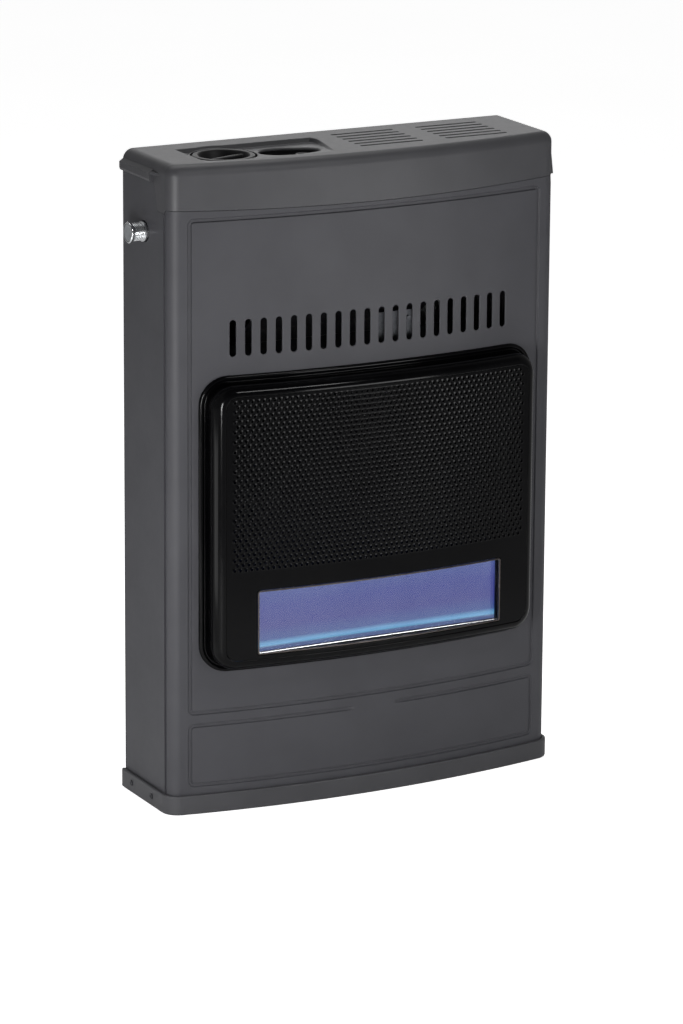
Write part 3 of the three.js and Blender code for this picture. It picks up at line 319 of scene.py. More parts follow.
def relief(tree, shader, pattern, depth_mm, strength=1.0):
    """Lets a pattern stand up by depth_mm."""
    bump = add(tree, "ShaderNodeBump", {"Strength": strength, "Distance": depth_mm / 1000.0},
               {"Height": pattern})
    tree.links.new(bump.outputs["Normal"], shader.inputs["Normal"])
    return bump


def shades(tree, shader, pattern, dark, light, low=0.35, high=0.65):
    """Lets the base colour wander between two close shades."""
    ramp = add(tree, "ShaderNodeMapRange", {"From Min": low, "From Max": high}, {"Value": pattern})
    mix = add(tree, "ShaderNodeMix", {"data_type": "RGBA"}, {"Factor": ramp.outputs["Result"]})
    mix.inputs[6].default_value, mix.inputs[7].default_value = linear(dark), linear(light)
    tree.links.new(mix.outputs[2], shader.inputs["Base Color"])


def uneven_gloss(tree, shader, pattern, low, high):
    """Lets the roughness wander between two values."""
    ramp = add(tree, "ShaderNodeMapRange", {"To Min": low, "To Max": high}, {"Value": pattern})
    tree.links.new(ramp.outputs["Result"], shader.inputs["Roughness"])


# %% [markdown]
# The casing is powder coated steel. The powder melts and flows, which leaves a
# satin skin with the low, soft lumps called orange peel, about 1.5 mm across.
# The cap and tray are injection moulded in the same grey with a spark-eroded
# texture, finer and a little duller.

# %% Paint and mouldings
powder_coat, tree, shader = finish("powder coat, dark grey", "#38383c", 0.52, Specular_IOR_Level=0.35)
peel = grain(tree, 1.6)
relief(tree, shader, peel.outputs["Fac"], 0.012)
shades(tree, shader, grain(tree, 60).outputs["Fac"], "#39393d", "#3d3d41")
uneven_gloss(tree, shader, grain(tree, 9).outputs["Fac"], 0.52, 0.58)

moulded_grey, tree, shader = finish("moulded ABS, dark grey", "#3b3b3e", 0.5, Specular_IOR_Level=0.4)
relief(tree, shader, grain(tree, 0.7, 1.0).outputs["Fac"], 0.012)
shades(tree, shader, grain(tree, 45).outputs["Fac"], "#39393c", "#3d3d40")
uneven_gloss(tree, shader, grain(tree, 6).outputs["Fac"], 0.46, 0.54)

# The charcoal is the knob's and the button's own colour; on the walls and floors of the knob cup and the finger
# well it is painted shade.
moulded_black_and_shade, tree, shader = finish("moulded ABS, charcoal, and painted shade", "#121214", 0.5, Specular_IOR_Level=0.25)
relief(tree, shader, grain(tree, 0.6, 1.0).outputs["Fac"], 0.008)
shades(tree, shader, grain(tree, 30).outputs["Fac"], "#101012", "#151517")
uneven_gloss(tree, shader, grain(tree, 5).outputs["Fac"], 0.46, 0.54)
print("paint and mouldings:", powder_coat.name, moulded_grey.name, moulded_black_and_shade.name)

# %% [markdown]
# The firefront is vitreous enamel on steel: a glassy black coat, fired on, with
# long soft waves in its surface and almost no colour of its own.

# %% Enamel
black_enamel, tree, shader = finish("vitreous enamel, black", "#030304", 0.12, Specular_IOR_Level=0.12)
relief(tree, shader, grain(tree, 22).outputs["Fac"], 0.02)
shades(tree, shader, grain(tree, 40).outputs["Fac"], "#030304", "#050506")
uneven_gloss(tree, shader, grain(tree, 12).outputs["Fac"], 0.1, 0.15)

heat_paint, tree, shader = finish("heatproof paint, matt black", "#17171a", 0.75)
relief(tree, shader, grain(tree, 0.9).outputs["Fac"], 0.02)
shades(tree, shader, grain(tree, 25).outputs["Fac"], "#131316", "#1d1c1e")
uneven_gloss(tree, shader, grain(tree, 7).outputs["Fac"], 0.68, 0.82)
print("enamel:", black_enamel.name, heat_paint.name)

# %% [markdown]
# Hidden sheet metal is hot dip galvanised. Its zinc freezes in crystals, the
# spangle, each of which takes the light its own way. Cells of a Voronoi pattern
# give each crystal its own shade and gloss. Nickel plate on the inlet and trims
# is bright with faint polishing marks, and cast and drawn parts are duller.

# %% Metals
SPANGLE_SIZE = 6
zinc, tree, shader = finish("galvanised steel", "#9a9da0", 0.42, 1.0)
place = add(tree, "ShaderNodeTexCoord")
spangle = add(tree, "ShaderNodeTexVoronoi", {"Scale": 1000.0 / SPANGLE_SIZE},
              {"Vector": place.outputs["Object"]})
value = add(tree, "ShaderNodeSeparateColor", {}, {"Color": spangle.outputs["Color"]})
shades(tree, shader, value.outputs[0], "#909396", "#a3a6a9", 0.0, 1.0)
uneven_gloss(tree, shader, value.outputs[1], 0.34, 0.52)
relief(tree, shader, grain(tree, 3).outputs["Fac"], 0.01)

nickel, tree, shader = finish("nickel plate", "#d0d2d4", 0.2, 1.0)
polish = grain(tree, 1.2, 2.0, (0.15, 1, 1))
shades(tree, shader, polish.outputs["Fac"], "#c8cacc", "#d8dadc")
uneven_gloss(tree, shader, polish.outputs["Fac"], 0.16, 0.26)
relief(tree, shader, polish.outputs["Fac"], 0.003)

alloy, tree, shader = finish("drawn aluminium", "#c3c6c9", 0.34, 1.0)
drawn = grain(tree, 0.8, 2.0, (1, 1, 0.1))
shades(tree, shader, drawn.outputs["Fac"], "#b4b7ba", "#d0d2d4")
uneven_gloss(tree, shader, drawn.outputs["Fac"], 0.28, 0.42)
relief(tree, shader, drawn.outputs["Fac"], 0.006)

brass, tree, shader = finish("turned brass", "#b5934f", 0.3, 1.0)
lathe_marks = grain(tree, 0.6, 2.0, (1, 1, 1))
shades(tree, shader, lathe_marks.outputs["Fac"], "#a98748", "#bd9b58")
uneven_gloss(tree, shader, lathe_marks.outputs["Fac"], 0.24, 0.38)
relief(tree, shader, lathe_marks.outputs["Fac"], 0.004)

porcelain, tree, shader = finish("glazed porcelain", "#e4dfd3", 0.25)
shades(tree, shader, grain(tree, 4).outputs["Fac"], "#ded8ca", "#e9e5da")
relief(tree, shader, grain(tree, 2).outputs["Fac"], 0.01)

bronze, tree, shader = finish("burnished steel, brown", "#5c5653", 0.3, 1.0)
rub = grain(tree, 1.5, 2.0, (0.2, 1, 1))
shades(tree, shader, rub.outputs["Fac"], "#554f4c", "#635d5a")
uneven_gloss(tree, shader, rub.outputs["Fac"], 0.26, 0.36)
relief(tree, shader, rub.outputs["Fac"], 0.004)

# The dark steel is the tray screws' own phosphated finish; on the slot strap, its screw and the burner tube
# inside the casing it is painted shade.
dark_steel_and_shade, tree, shader = finish("phosphated steel, dark, and painted shade", "#3c3d40", 0.4, 1.0)
scale = grain(tree, 2.5)
shades(tree, shader, scale.outputs["Fac"], "#37383b", "#424346")
uneven_gloss(tree, shader, scale.outputs["Fac"], 0.34, 0.48)
relief(tree, shader, scale.outputs["Fac"], 0.008)

plug_plastic, tree, shader = finish("polyethylene, grey", "#74777a", 0.38)
shades(tree, shader, grain(tree, 5).outputs["Fac"], "#6e7174", "#7b7e81")
relief(tree, shader, grain(tree, 1.5).outputs["Fac"], 0.01)
print("metals:", zinc.name, nickel.name, alloy.name, brass.name)

# %% [markdown]
# The pane is drawn glass-ceramic, which is clear with a faint smoky tint. The
# flame is not a solid at all: a glowing sheet stands on the burner's ports, blue
# violet high up and cyan at the ports where the gas burns hardest. Its colour
# depends only on the height above the burner.

# %% Glass and flame
pane_glass, tree, shader = finish("glass-ceramic pane", "#ffffff", 0.02, Transmission_Weight=1.0, IOR=1.45,
                                  Specular_IOR_Level=0.12)
shades(tree, shader, grain(tree, 50).outputs["Fac"], "#f6f7fb", "#ffffff")


def glow(name, stops, low_mm, high_mm, strength):
    """A material that shines with colours set by height: stops are (share of the height, colour)."""
    material, tree, shader = finish(name, "#000000", 0.9)
    place = add(tree, "ShaderNodeTexCoord")
    height = add(tree, "ShaderNodeSeparateXYZ", {}, {"Vector": place.outputs["Object"]})
    share = add(tree, "ShaderNodeMapRange", {"From Min": (low_mm - HANG_HEIGHT) / 1000,
                "From Max": (high_mm - HANG_HEIGHT) / 1000}, {"Value": height.outputs["Z"]})
    ramp = add(tree, "ShaderNodeValToRGB", {}, {"Fac": share.outputs["Result"]})
    while len(ramp.color_ramp.elements) < len(stops):
        ramp.color_ramp.elements.new(0.5)
    for element, (at, colour) in zip(ramp.color_ramp.elements, stops):
        element.position, element.color = at, linear(colour)
    tree.links.new(ramp.outputs["Color"], shader.inputs["Emission Color"])
    shader.inputs["Emission Strength"].default_value = strength
    return material


flame_glow = glow("gas flame", [(0.0, "#525c86"), (0.1, "#5a6a92"), (0.125, "#68a4cc"), (0.165, "#5c94c0"),
                                (0.21, "#3c5490"), (0.4, "#3a4088"), (0.7, "#3c468e"), (0.9, "#465694"),
                                (1.0, "#4c6296")], 155.5, 226.0, 1.0)
print("glass and flame:", pane_glass.name, flame_glow.name)

# %% [markdown]
# ## The bowed front panel
# The panel is one pressed sheet: it wraps both upright corners, has twenty air
# slots, an opening behind the firefront, and two shallow grooves that frame it.
# A pressed sheet is easiest to draw flat. The flat outline is cut into triangles
# that follow every slot and groove, and then each point is moved to its place on
# the bow, so the curve stays smooth and the holes stay crisp.

# %% Front panel
SLOT_COUNT, SLOT_PITCH, SLOT_WIDTH, SLOT_LOW, SLOT_HIGH = 20, 15.88, 6.6, 465.0, 501.5
GROOVE_FLAT, GROOVE_SLOPE, GROOVE_DEPTH, GROOVE_CORNER = 1.1, 1.3, 1.9, 4.5
FRAMES = [(-194.3, 194.3, 104.0, 602.5), (-194.3, 194.3, 29.2, 91.0)]
SHEET_END = CORNER_END - 3.4
LOWER_GAP = 25.5
slot_middles = along((np.arange(SLOT_COUNT) - (SLOT_COUNT - 1) / 2) * SLOT_PITCH)
MOUTH = (-152.0, 152.0, 156.5, 435.5)


def slot_distance(uv):
    nearest = slot_middles[np.abs(uv[:, :1] - slot_middles).argmin(axis=1)]
    local = np.stack([uv[:, 0] - nearest, uv[:, 1]], axis=1)
    return rounded_distance(local, -SLOT_WIDTH / 2, SLOT_WIDTH / 2, SLOT_LOW, SLOT_HIGH, SLOT_WIDTH / 2)


def groove_depth(uv):
    depth = np.zeros(len(uv))
    for x0, x1, z0, z1 in FRAMES:
        away = np.abs(rounded_distance(uv, along(x0), along(x1), z0, z1, GROOVE_CORNER))
        part = 1 - smooth((away - GROOVE_FLAT) / GROOVE_SLOPE)
        if z1 < 100:
            ends = smooth((np.abs(uv[:, 0] - 3.5) - LOWER_GAP) / 3.0)
            part = part * np.where(uv[:, 1] > (z0 + z1) / 2, ends, 1.0)
        depth = np.maximum(depth, part * GROOVE_DEPTH)
    return depth


def seam_rise(s):
    """The seam under the cap is a shallow arc that climbs towards both ends."""
    a = np.abs(s)
    return SEAM_RISE * np.minimum(a / BOW_LENGTH, 1.0) ** 2 * smooth((CORNER_END - 1.4 - a) / 2.0)


def panel_point(uv, extra):
    x, y = plan(uv[:, 0], -extra)
    return np.stack([x, y, uv[:, 1] + seam_rise(uv[:, 0]) * np.clip((uv[:, 1] - 605) / 3, 0, 1)], axis=1)


def panel_front(uv):
    edge = np.minimum(SHEET_END - np.abs(uv[:, 0]), uv[:, 1] - PANEL_FOOT)
    edge = np.minimum(edge, SEAM - 0.3 - uv[:, 1])
    return panel_point(uv, groove_depth(uv) + roll(slot_distance(uv), 1.0) + roll(edge, 0.5))


def panel_back(uv):
    return panel_point(uv, groove_depth(uv) + SHEET)


def panel_keeps(uv):
    return (slot_distance(uv) > 0) & (rounded_distance(uv, *along(MOUTH[:2]), *MOUTH[2:], CORNER) > 0)


loops = []
for inset in (0.0, 0.25, 0.5):
    loops.append(rounded_loop(-SHEET_END + inset, SHEET_END - inset, PANEL_FOOT + inset,
                              SEAM - 0.3 - inset, 0.01, 1, 9))
loops.append(rounded_loop(*along(MOUTH[:2]), *MOUTH[2:], CORNER))
for x0, x1, z0, z1 in FRAMES:
    for grow in (-2.4, -2.08, -1.75, -1.42, -1.1, 0.0, 1.1, 1.42, 1.75, 2.08, 2.4):
        loops.append(rounded_loop(along(x0) - grow, along(x1) + grow, z0 - grow, z1 + grow,
                                  GROOVE_CORNER + grow, 5, 6))
for middle in slot_middles:
    for grow in (0.0, 0.15, 0.5, 1.0):
        loops.append(rounded_loop(middle - SLOT_WIDTH / 2 - grow, middle + SLOT_WIDTH / 2 + grow,
                                  SLOT_LOW - grow, SLOT_HIGH + grow, SLOT_WIDTH / 2 + grow - 0.01, 6, 5))
u = np.concatenate([np.linspace(-BOW_LENGTH, BOW_LENGTH, 60),
                    *[side * (BOW_LENGTH + np.arange(1, 9) * 1.8) for side in (-1, 1)]])
fill = np.stack(np.meshgrid(u, np.arange(9, SEAM, 9.0)), axis=-1).reshape(-1, 2)
front_panel = build("front_sheet", skin(panel_front, panel_back, loops, fill, panel_keeps,
                                        toward(0, -1, 0), room=1.6), powder_coat)

# %% [markdown]
# ## The moulded cap
# The cap is a shallow tub turned over. Its side wall follows the casing's plan
# and rolls into the top in a quarter circle. The top has the warm-air slots, the
# sunken control area, the round cup that holds the knob and the finger well for
# the igniter. The wall is a grid, and the top is cut flat like the panel.

# %% Cap wall
CAP_EDGE, CAP_WALL = 11.0, 2.5
step_s = SIDE_END + np.linspace(-80.5, -69.5, 16)
side_s = np.unique(np.concatenate([np.linspace(CORNER_END, SIDE_END, 12)[1:], step_s]))
half_s = np.concatenate([np.linspace(0, BOW_LENGTH, 36), np.linspace(BOW_LENGTH, CORNER_END, 14)[1:], side_s])
cap_s = np.concatenate([-half_s[:0:-1], half_s])


def cap_foot(y):
    """The cap's lower edge: low round the front, higher along each side."""
    rise = seam_rise(cap_s)
    return SEAM + rise + (27 - rise) * (1 + np.cos(np.pi * np.clip((-70 - y) / 10, 0, 1))) / 2


def cap_profile(out, foot_lift=0.0):
    """Rows of the cap's wall from its lower edge to the top, out millimetres outside the outer face."""
    _, y = plan(cap_s)
    foot, shoulder = cap_foot(y) + foot_lift, TOP - CAP_EDGE
    rows = []
    for t in np.linspace(0, 1, 7):
        rows.append((out * np.ones_like(cap_s), foot + (shoulder - foot) * t))
    for turn in np.linspace(0, math.pi / 2, 13)[1:]:
        reach = (CAP_EDGE + out) * math.cos(turn) - CAP_EDGE
        lift = (CAP_EDGE + out) * math.sin(turn)
        rows.append((reach * np.ones_like(cap_s), shoulder + lift * np.ones_like(cap_s)))
    return np.array([np.stack([*plan(cap_s, o), z], axis=1) for o, z in rows])


wall_out, wall_in = cap_profile(0.0), cap_profile(-CAP_WALL)
outward = lambda p: p - np.array([0, 60.0, 560.0])
inward = lambda p: np.array([0, 60.0, 560.0]) - p
cap_patches = [grid(wall_out, facing=outward), grid(wall_in, facing=inward),
               grid(np.stack([wall_out[0], wall_in[0]]), facing=toward(0, 0, -1))]
for column in (0, -1):
    cap_patches.append(grid(np.stack([wall_out[:, column], wall_in[:, column]]), facing=toward(0, 1, 0)))
print("cap wall", wall_out.shape)

# %% Cap top
KNOB_X, KNOB_Y, KNOB_HOLE = -134.0, -59.5, 33.2
WELL_A, WELL_RA, WELL_B, WELL_RB = np.array([-73.0, -69.0]), 24.5, np.array([-53.0, -71.0]), 17.0
WELL_FLOOR, BUTTON_RADIUS = 641.0, 7.4
RECESS_BACK, RECESS_FRONT, RECESS_DEPTH, RECESS_FILLET = -26.0, -100.0, 4.5, 3.2
SEAT_HEIGHT, SEAT_REACH = 654.4, 3.0
VENT_HALF, VENT_WIDTH = 35.0, 3.6
vent_middles = np.array([(x, -24 - 12.7 * row) for x in (37.5, 133.0) for row in range(6)])


def closed_curve(points, steps=8):
    """A smooth closed curve through points."""
    p = np.array(points, float)
    loop = []
    for i in range(len(p)):
        a, b, c, d = p[i - 1], p[i], p[(i + 1) % len(p)], p[(i + 2) % len(p)]
        for t in np.linspace(0, 1, steps, endpoint=False):
            loop.append(0.5 * (2 * b + (c - a) * t + (2 * a - 5 * b + 4 * c - d) * t**2
                               + (3 * b - a - 3 * c + d) * t**3))
    return np.array(loop)


recess_line = closed_curve([(-171, -29), (-171, -60), (-171, -98), (-168, -101), (-100, -101), (-37, -101),
                            (-31.5, -98), (-27, -78), (-22, -55), (-19.5, -38), (-21.5, -28.5), (-30, -26),
                            (-100, -26), (-168, -26)], 6)


def polygon_distance(p, loop):
    """How far points lie outside a closed polygon, negative inside."""
    a, b = loop, np.roll(loop, -1, axis=0)
    away = np.full(len(p), 1e9)
    inside = np.zeros(len(p), bool)
    for (ax, ay), (bx, by) in zip(a, b):
        dx, dy = bx - ax, by - ay
        t = np.clip(((p[:, 0] - ax) * dx + (p[:, 1] - ay) * dy) / (dx * dx + dy * dy + 1e-12), 0, 1)
        away = np.minimum(away, np.hypot(p[:, 0] - ax - t * dx, p[:, 1] - ay - t * dy))
        if dy != 0:
            crosses = ((ay > p[:, 1]) != (by > p[:, 1])) & (p[:, 0] < dx * (p[:, 1] - ay) / dy + ax)
            inside ^= crosses
    return np.where(inside, -away, away)


def well_distance(p):
    axis = WELL_B - WELL_A
    length = np.linalg.norm(axis)
    axis = axis / length
    across, up = np.abs((p - WELL_A) @ [-axis[1], axis[0]]), (p - WELL_A) @ axis
    b = (WELL_RA - WELL_RB) / length
    a = math.sqrt(1 - b * b)
    k = -b * across + a * up
    big = np.hypot(across, up) - WELL_RA
    small = np.hypot(across, up - length) - WELL_RB
    return np.where(k < 0, big, np.where(k > a * length, small, a * across + b * up - WELL_RA))


def well_loop(grow, steps=64):
    """The finger well's outline, moved outwards by grow."""
    ring = np.linspace(0, 2 * math.pi, steps, endpoint=False)
    heading = np.stack([np.cos(ring), np.sin(ring)], axis=1)
    reach_a = WELL_A @ heading.T + WELL_RA
    reach_b = WELL_B @ heading.T + WELL_RB
    centre = np.where((reach_a > reach_b)[:, None], WELL_A, WELL_B)
    radius = np.where(reach_a > reach_b, WELL_RA, WELL_RB)
    return centre + heading * (radius + grow)[:, None]


def vent_distance(p):
    nearest = vent_middles[np.linalg.norm(p[:, None, :] - vent_middles[None], axis=2).argmin(axis=1)]
    x_side = np.where(p[:, 0] > 85.25, 133.0, 37.5)
    row = np.clip(np.round((-24 - p[:, 1]) / 12.7), 0, 5)
    local = np.stack([p[:, 0] - x_side, p[:, 1] + 24 + 12.7 * row], axis=1)
    return rounded_distance(local, -VENT_HALF, VENT_HALF, -VENT_WIDTH / 2, VENT_WIDTH / 2, VENT_WIDTH / 2)


def deck_plain(p):
    """The deck with its sunken control area, which is flat for a few millimetres round the knob."""
    share = np.clip((p[:, 1] - RECESS_FRONT) / (RECESS_BACK - RECESS_FRONT), 0, 1) ** 0.6
    sunk = TOP - RECESS_DEPTH * share * smooth(-polygon_distance(p, recess_line) / RECESS_FILLET)
    knob = np.hypot(p[:, 0] - KNOB_X, p[:, 1] - KNOB_Y) - KNOB_HOLE
    seat = 1 - smooth((knob - 0.8) / SEAT_REACH)
    return sunk * (1 - seat) + SEAT_HEIGHT * seat


def deck_height(p):
    knob = np.hypot(p[:, 0] - KNOB_X, p[:, 1] - KNOB_Y) - KNOB_HOLE
    drop = roll(knob, 0.5) + roll(well_distance(p), 2.5) + roll(vent_distance(p), 0.6)
    return deck_plain(p) - drop


def deck_top(p):
    return np.column_stack([p, deck_height(p)])


def deck_under(p):
    return np.column_stack([p, deck_plain(p) - CAP_WALL])


def deck_keeps(p):
    knob = np.hypot(p[:, 0] - KNOB_X, p[:, 1] - KNOB_Y) - KNOB_HOLE
    outline = np.column_stack(plan(cap_s, -CAP_EDGE))
    return (knob > 0) & (well_distance(p) > 0) & (vent_distance(p) > 0) & (polygon_distance(p, outline) < 0)


ring = np.linspace(0, 2 * math.pi, 120, endpoint=False)
knob_ring = np.stack([KNOB_X + KNOB_HOLE * np.cos(ring), KNOB_Y + KNOB_HOLE * np.sin(ring)], axis=1)
edge_line = np.column_stack(plan(cap_s, -CAP_EDGE))
back_line = np.column_stack([np.linspace(edge_line[-1, 0], edge_line[0, 0], 50)[1:-1], np.zeros(48)])
loops = [np.concatenate([edge_line, back_line])]
for grow in (0.0, 0.2, 0.5, 0.8, 1.8, 2.8, 3.8):
    loops.append(knob_ring + (knob_ring - [KNOB_X, KNOB_Y]) / KNOB_HOLE * grow)
for grow in (0.0, 0.25, 0.9, 1.7):
    loops.append(well_loop(grow))
normals = unit(np.roll(recess_line, -1, axis=0) - np.roll(recess_line, 1, axis=0))
normals = np.stack([-normals[:, 1], normals[:, 0]], axis=1)
for shrink in (0.0, 0.8, 1.6, 2.4, 3.2):
    loops.append(recess_line + normals * shrink)
for x, y in vent_middles:
    for grow in (0.0, 0.2, 0.6):
        loops.append(rounded_loop(x - VENT_HALF - grow, x + VENT_HALF + grow, y - VENT_WIDTH / 2 - grow,
                                  y + VENT_WIDTH / 2 + grow, VENT_WIDTH / 2 + grow - 0.01, 5, 6))
fill = np.stack(np.meshgrid(np.arange(-202, 203, 4.0), np.arange(-122, 0, 4.0)), axis=-1).reshape(-1, 2)


def deck_rim(middle):
    """Rims close the slots and the back edge; the cup, the well and the wall close the rest."""
    p = middle[None]
    return vent_distance(p)[0] < 0.3 or middle[1] > -0.01


cap_patches += skin(deck_top, deck_under, loops, fill[polygon_distance(fill, edge_line) < -2], deck_keeps,
                    toward(0, 0, 1), room=1.2, rimmed=deck_rim)
print("cap top", len(cap_patches[-3][1]), "triangles")

# %% [markdown]
# The knob's cup and the finger well are walls that hang from the edges of their
# holes. Each wall starts on the very points of its hole, so the two weld, and
# ends in a floor with a hole for the spindle or the push button.

# %% Cup, well, lugs and the finished cap
CUP_FLOOR = 632.2


def hung_wall(loop, floor, fillet, centre):
    """Rows from a hole's edge down to a floor, with a round inner corner."""
    edge = deck_top(loop)
    rows = [edge]
    away = unit(loop - centre)
    for turn in np.linspace(0, math.pi / 2, 6):
        step = fillet * (1 - math.cos(turn))
        p = loop - away * step
        rows.append(np.column_stack([p, np.full(len(p), floor + fillet * (1 - math.sin(turn)))]))
    return np.array(rows)


def floor_rings(outer, hole_centre, hole_radius, floor, depth):
    """A floor from an outer ring to a round hole, and the hole's wall below it."""
    away = outer[:, :2] - hole_centre
    angle = np.arctan2(away[:, 1], away[:, 0])
    inner = np.column_stack([hole_centre[0] + hole_radius * np.cos(angle),
                             hole_centre[1] + hole_radius * np.sin(angle), np.full(len(outer), floor)])
    rows = np.array([outer * (1 - t) + inner * t for t in np.linspace(0, 1, 5)])
    low = inner - [0, 0, depth]
    return rows, np.array([inner, low])


cup_wall = hung_wall(knob_ring, CUP_FLOOR, 1.0, np.array([KNOB_X, KNOB_Y]))
cup_floor, cup_hole = floor_rings(cup_wall[-1], np.array([KNOB_X, KNOB_Y]), 9.5, CUP_FLOOR, CAP_WALL)
well_line = well_loop(0.0)
well_centre = (WELL_A + WELL_B) / 2
well_wall = hung_wall(well_line, WELL_FLOOR, 3.5, well_centre)
well_floor, well_hole = floor_rings(well_wall[-1], WELL_B, BUTTON_RADIUS + 0.3, WELL_FLOOR, CAP_WALL)
well_patches = []
for wall, hole_floor, hole, centre in ((cup_wall, cup_floor, cup_hole, (KNOB_X, KNOB_Y)),
                                       (well_wall, well_floor, well_hole, tuple(WELL_B))):
    to_axis = lambda p, c=centre: np.array([c[0], c[1], 700.0]) - p
    across = lambda p, c=centre: np.array([c[0], c[1], 0.0]) - p * [1, 1, 0]
    well_patches += [grid(wall, ring_columns=True, facing=to_axis),
                     grid(hole_floor, ring_columns=True, facing=toward(0, 0, 1)),
                     grid(hole, ring_columns=True, facing=across)]
# The cup and the well are part of the grey cap, but they take the charcoal finish as painted shade for the
# inside of these recesses.
wells = build("control_wells", well_patches, moulded_black_and_shade)


def prism(outline, low, high, edge, axis="Z"):
    """A convex prism with chamfered ends: an XY outline that rises in Z, or an XZ outline that runs in Y."""
    flat = np.array(outline, float)
    shrunk = flat - unit(flat - flat.mean(axis=0)) * edge
    order = [0, 1, 2] if axis == "Z" else [0, 2, 1]
    rows = [np.column_stack([p, np.full(len(p), h)])[:, order] for p, h in
            ((shrunk, low), (flat, low + edge), (flat, high - edge), (shrunk, high))]
    quads = [(a[i], a[i - 1], b[i - 1], b[i]) for a, b in zip(rows, rows[1:]) for i in range(len(flat))]
    points = np.array(quads).reshape(-1, 3)
    faces = np.arange(len(points)).reshape(-1, 4)
    normal = unit(np.cross(points[1::4] - points[0::4], points[2::4] - points[0::4]))
    wrong = ((points[0::4] - points.mean(axis=0)) * normal).sum(axis=1) < 0
    faces[wrong] = faces[wrong][:, ::-1]
    normal[wrong] *= -1
    patches = [(points, faces, np.repeat(normal, 4, axis=0))]
    for row, way in ((rows[-1], 1.0), (rows[0], -1.0)):
        up = np.array([0.0, 0, way] if axis == "Z" else [0.0, way, 0])
        ring = list(range(len(flat)))
        turned_area = sum(np.cross(row[i - 1] - row[0], row[i] - row[0]) @ up for i in ring)
        patches.append((row, [ring if turned_area > 0 else ring[::-1]], np.tile(up, (len(flat), 1))))
    return patches


for side in (-1, 1):
    lug = [(213.0, 636.0), (216.6, 636.0), (218.6, 637.0), (219.5, 639.4), (219.5, 645.2), (214.9, 648.4),
           (213.0, 648.4)]
    cap_patches += prism([(side * x, z) for x, z in lug], -69.0, -1.0, 0.3, axis="Y")
    nose = [(213.0, -68.4), (219.2, -69.0), (215.2, -81.5), (213.0, -81.5)]
    cap_patches += prism([(side * x, y) for x, y in nose], 644.2, 646.8, 0.4)
tab_rows = []
for z, reach in ((646.0, 215.2), (612.6, 219.0), (612.0, 218.4)):
    tab_rows.append([(213.0, -94.0, z), (reach - 0.5, -94.0, z), (reach, -93.4, z), (reach, -73.0, z),
                     (reach - 0.6, -72.4, z), (213.0, -72.4, z)])
tab_rows.append([(213.0, y, 612.0) for _, y, _ in tab_rows[0]])
cap_patches.append(grid(np.array(tab_rows), facing=lambda p: p - np.array([205.0, -83.0, 632.0])))
top_cap = build("moulded_cap", cap_patches, moulded_grey)

# %% [markdown]
# ## The tray
# The casing stands in a moulded tray, four millimetres wider all round. Its
# front edge shows as a thin bright line under the panel, so the lip is rounded.
# Air for the burner comes in through slots in the floor.

# %% Base tray
TRAY_FLOOR = 3.0
tray_s = cap_s
tray_profile = (arc(2.2, 1.8, 1.8, -90, 0, 4) + arc(2.4, 18.4, 1.6, 0, 90, 6)
                + arc(1.4, 19.2, 0.8, 90, 180, 3) + [(0.6, TRAY_FLOOR)])
wall = np.array([np.column_stack([*plan(tray_s, out), np.full(len(tray_s), z)]) for out, z in tray_profile])
tray_patches = [grid(wall[:-1], facing=lambda p: p - np.array([0, 40.0, 12.0])),
                grid(wall[-2:], facing=lambda p: np.array([0, 40.0, 12.0]) - p)]
intake = np.array([(i - 4) * 40.0 for i in range(9)])


def intake_distance(p):
    nearest = intake[np.abs(p[:, :1] - intake).argmin(axis=1)]
    return rounded_distance(np.column_stack([p[:, 0] - nearest, p[:, 1]]), -5, 5, -89, -27, 5)


floor_line = np.column_stack(plan(tray_s, 0.6))
under_line = np.column_stack(plan(tray_s, 2.2))
back = lambda line: np.column_stack([np.linspace(line[-1, 0], line[0, 0], 40)[1:-1], np.zeros(38)])
slots = [rounded_loop(x - 5, x + 5, -89, -27, 4.99, 5, 8) for x in intake]
fill = np.stack(np.meshgrid(np.arange(-210, 211, 12.0), np.arange(-120, 0, 12.0)), axis=-1).reshape(-1, 2)
for line, z, facing in ((floor_line, TRAY_FLOOR, 1), (under_line, 0.0, -1)):
    level = lambda p, z=z: np.column_stack([p, np.full(len(p), z)])
    thin = lambda p, z=z, f=facing: np.column_stack([p, np.full(len(p), z - f * TRAY_FLOOR)])
    inside = fill[polygon_distance(fill, line) < -3]
    sheet = skin(level, thin, [np.concatenate([line, back(line)]), *slots], inside,
                 lambda p, line=line: (intake_distance(p) > 0) & (polygon_distance(p, line) < 0.0),
                 toward(0, 0, facing), room=3.0, rimmed=lambda m, f=facing: f > 0 and (
                     intake_distance(m[None])[0] < 0.5))
    tray_patches += [sheet[0]] + ([sheet[2]] if facing > 0 else [])
end_loop = [(out, z) for out, z in tray_profile]
for side in (-1, 1):
    s_end = np.full(len(end_loop), side * SIDE_END)
    outs, heights = np.array(end_loop).T
    x, y = plan(s_end, outs)
    outer = np.column_stack([x, y, heights])
    inner = np.column_stack([np.full(len(x), side * 215.6), y, np.clip(heights, 0, 19)])
    tray_patches.append(grid(np.stack([outer[:-1], inner[:-1]]), facing=toward(0, 1, 0)))
rear_edge = np.array([[[x, 0.0, 0.0], [x, 0.0, TRAY_FLOOR]] for x in np.linspace(-217.2, 217.2, 10)])
tray_patches.append(grid(rear_edge, facing=toward(0, 1, 0)))
base_tray = build("moulded_tray", tray_patches, moulded_grey)

# %% [markdown]
# ## The domed firefront
# The dome's frame is one pressed ring: a rolled bead against the panel, a narrow
# channel, a steep flank and a round shoulder. A ring like that is a profile swept
# round a rounded rectangle that follows the bow, which is a grid closed both ways.

# %% Bezel frame
BEZEL_HALF, BEZEL_TOP, BEZEL_LOW, BEZEL_CORNER = 186.0, 446.5, 145.5, 29.0
DOME, DOME_EDGE, DOME_SHEET, FLANK = 26.0, 10.0, 1.4, 6.6
BEAD_HEIGHT, BEAD_WIDTH = 3.6, 4.6


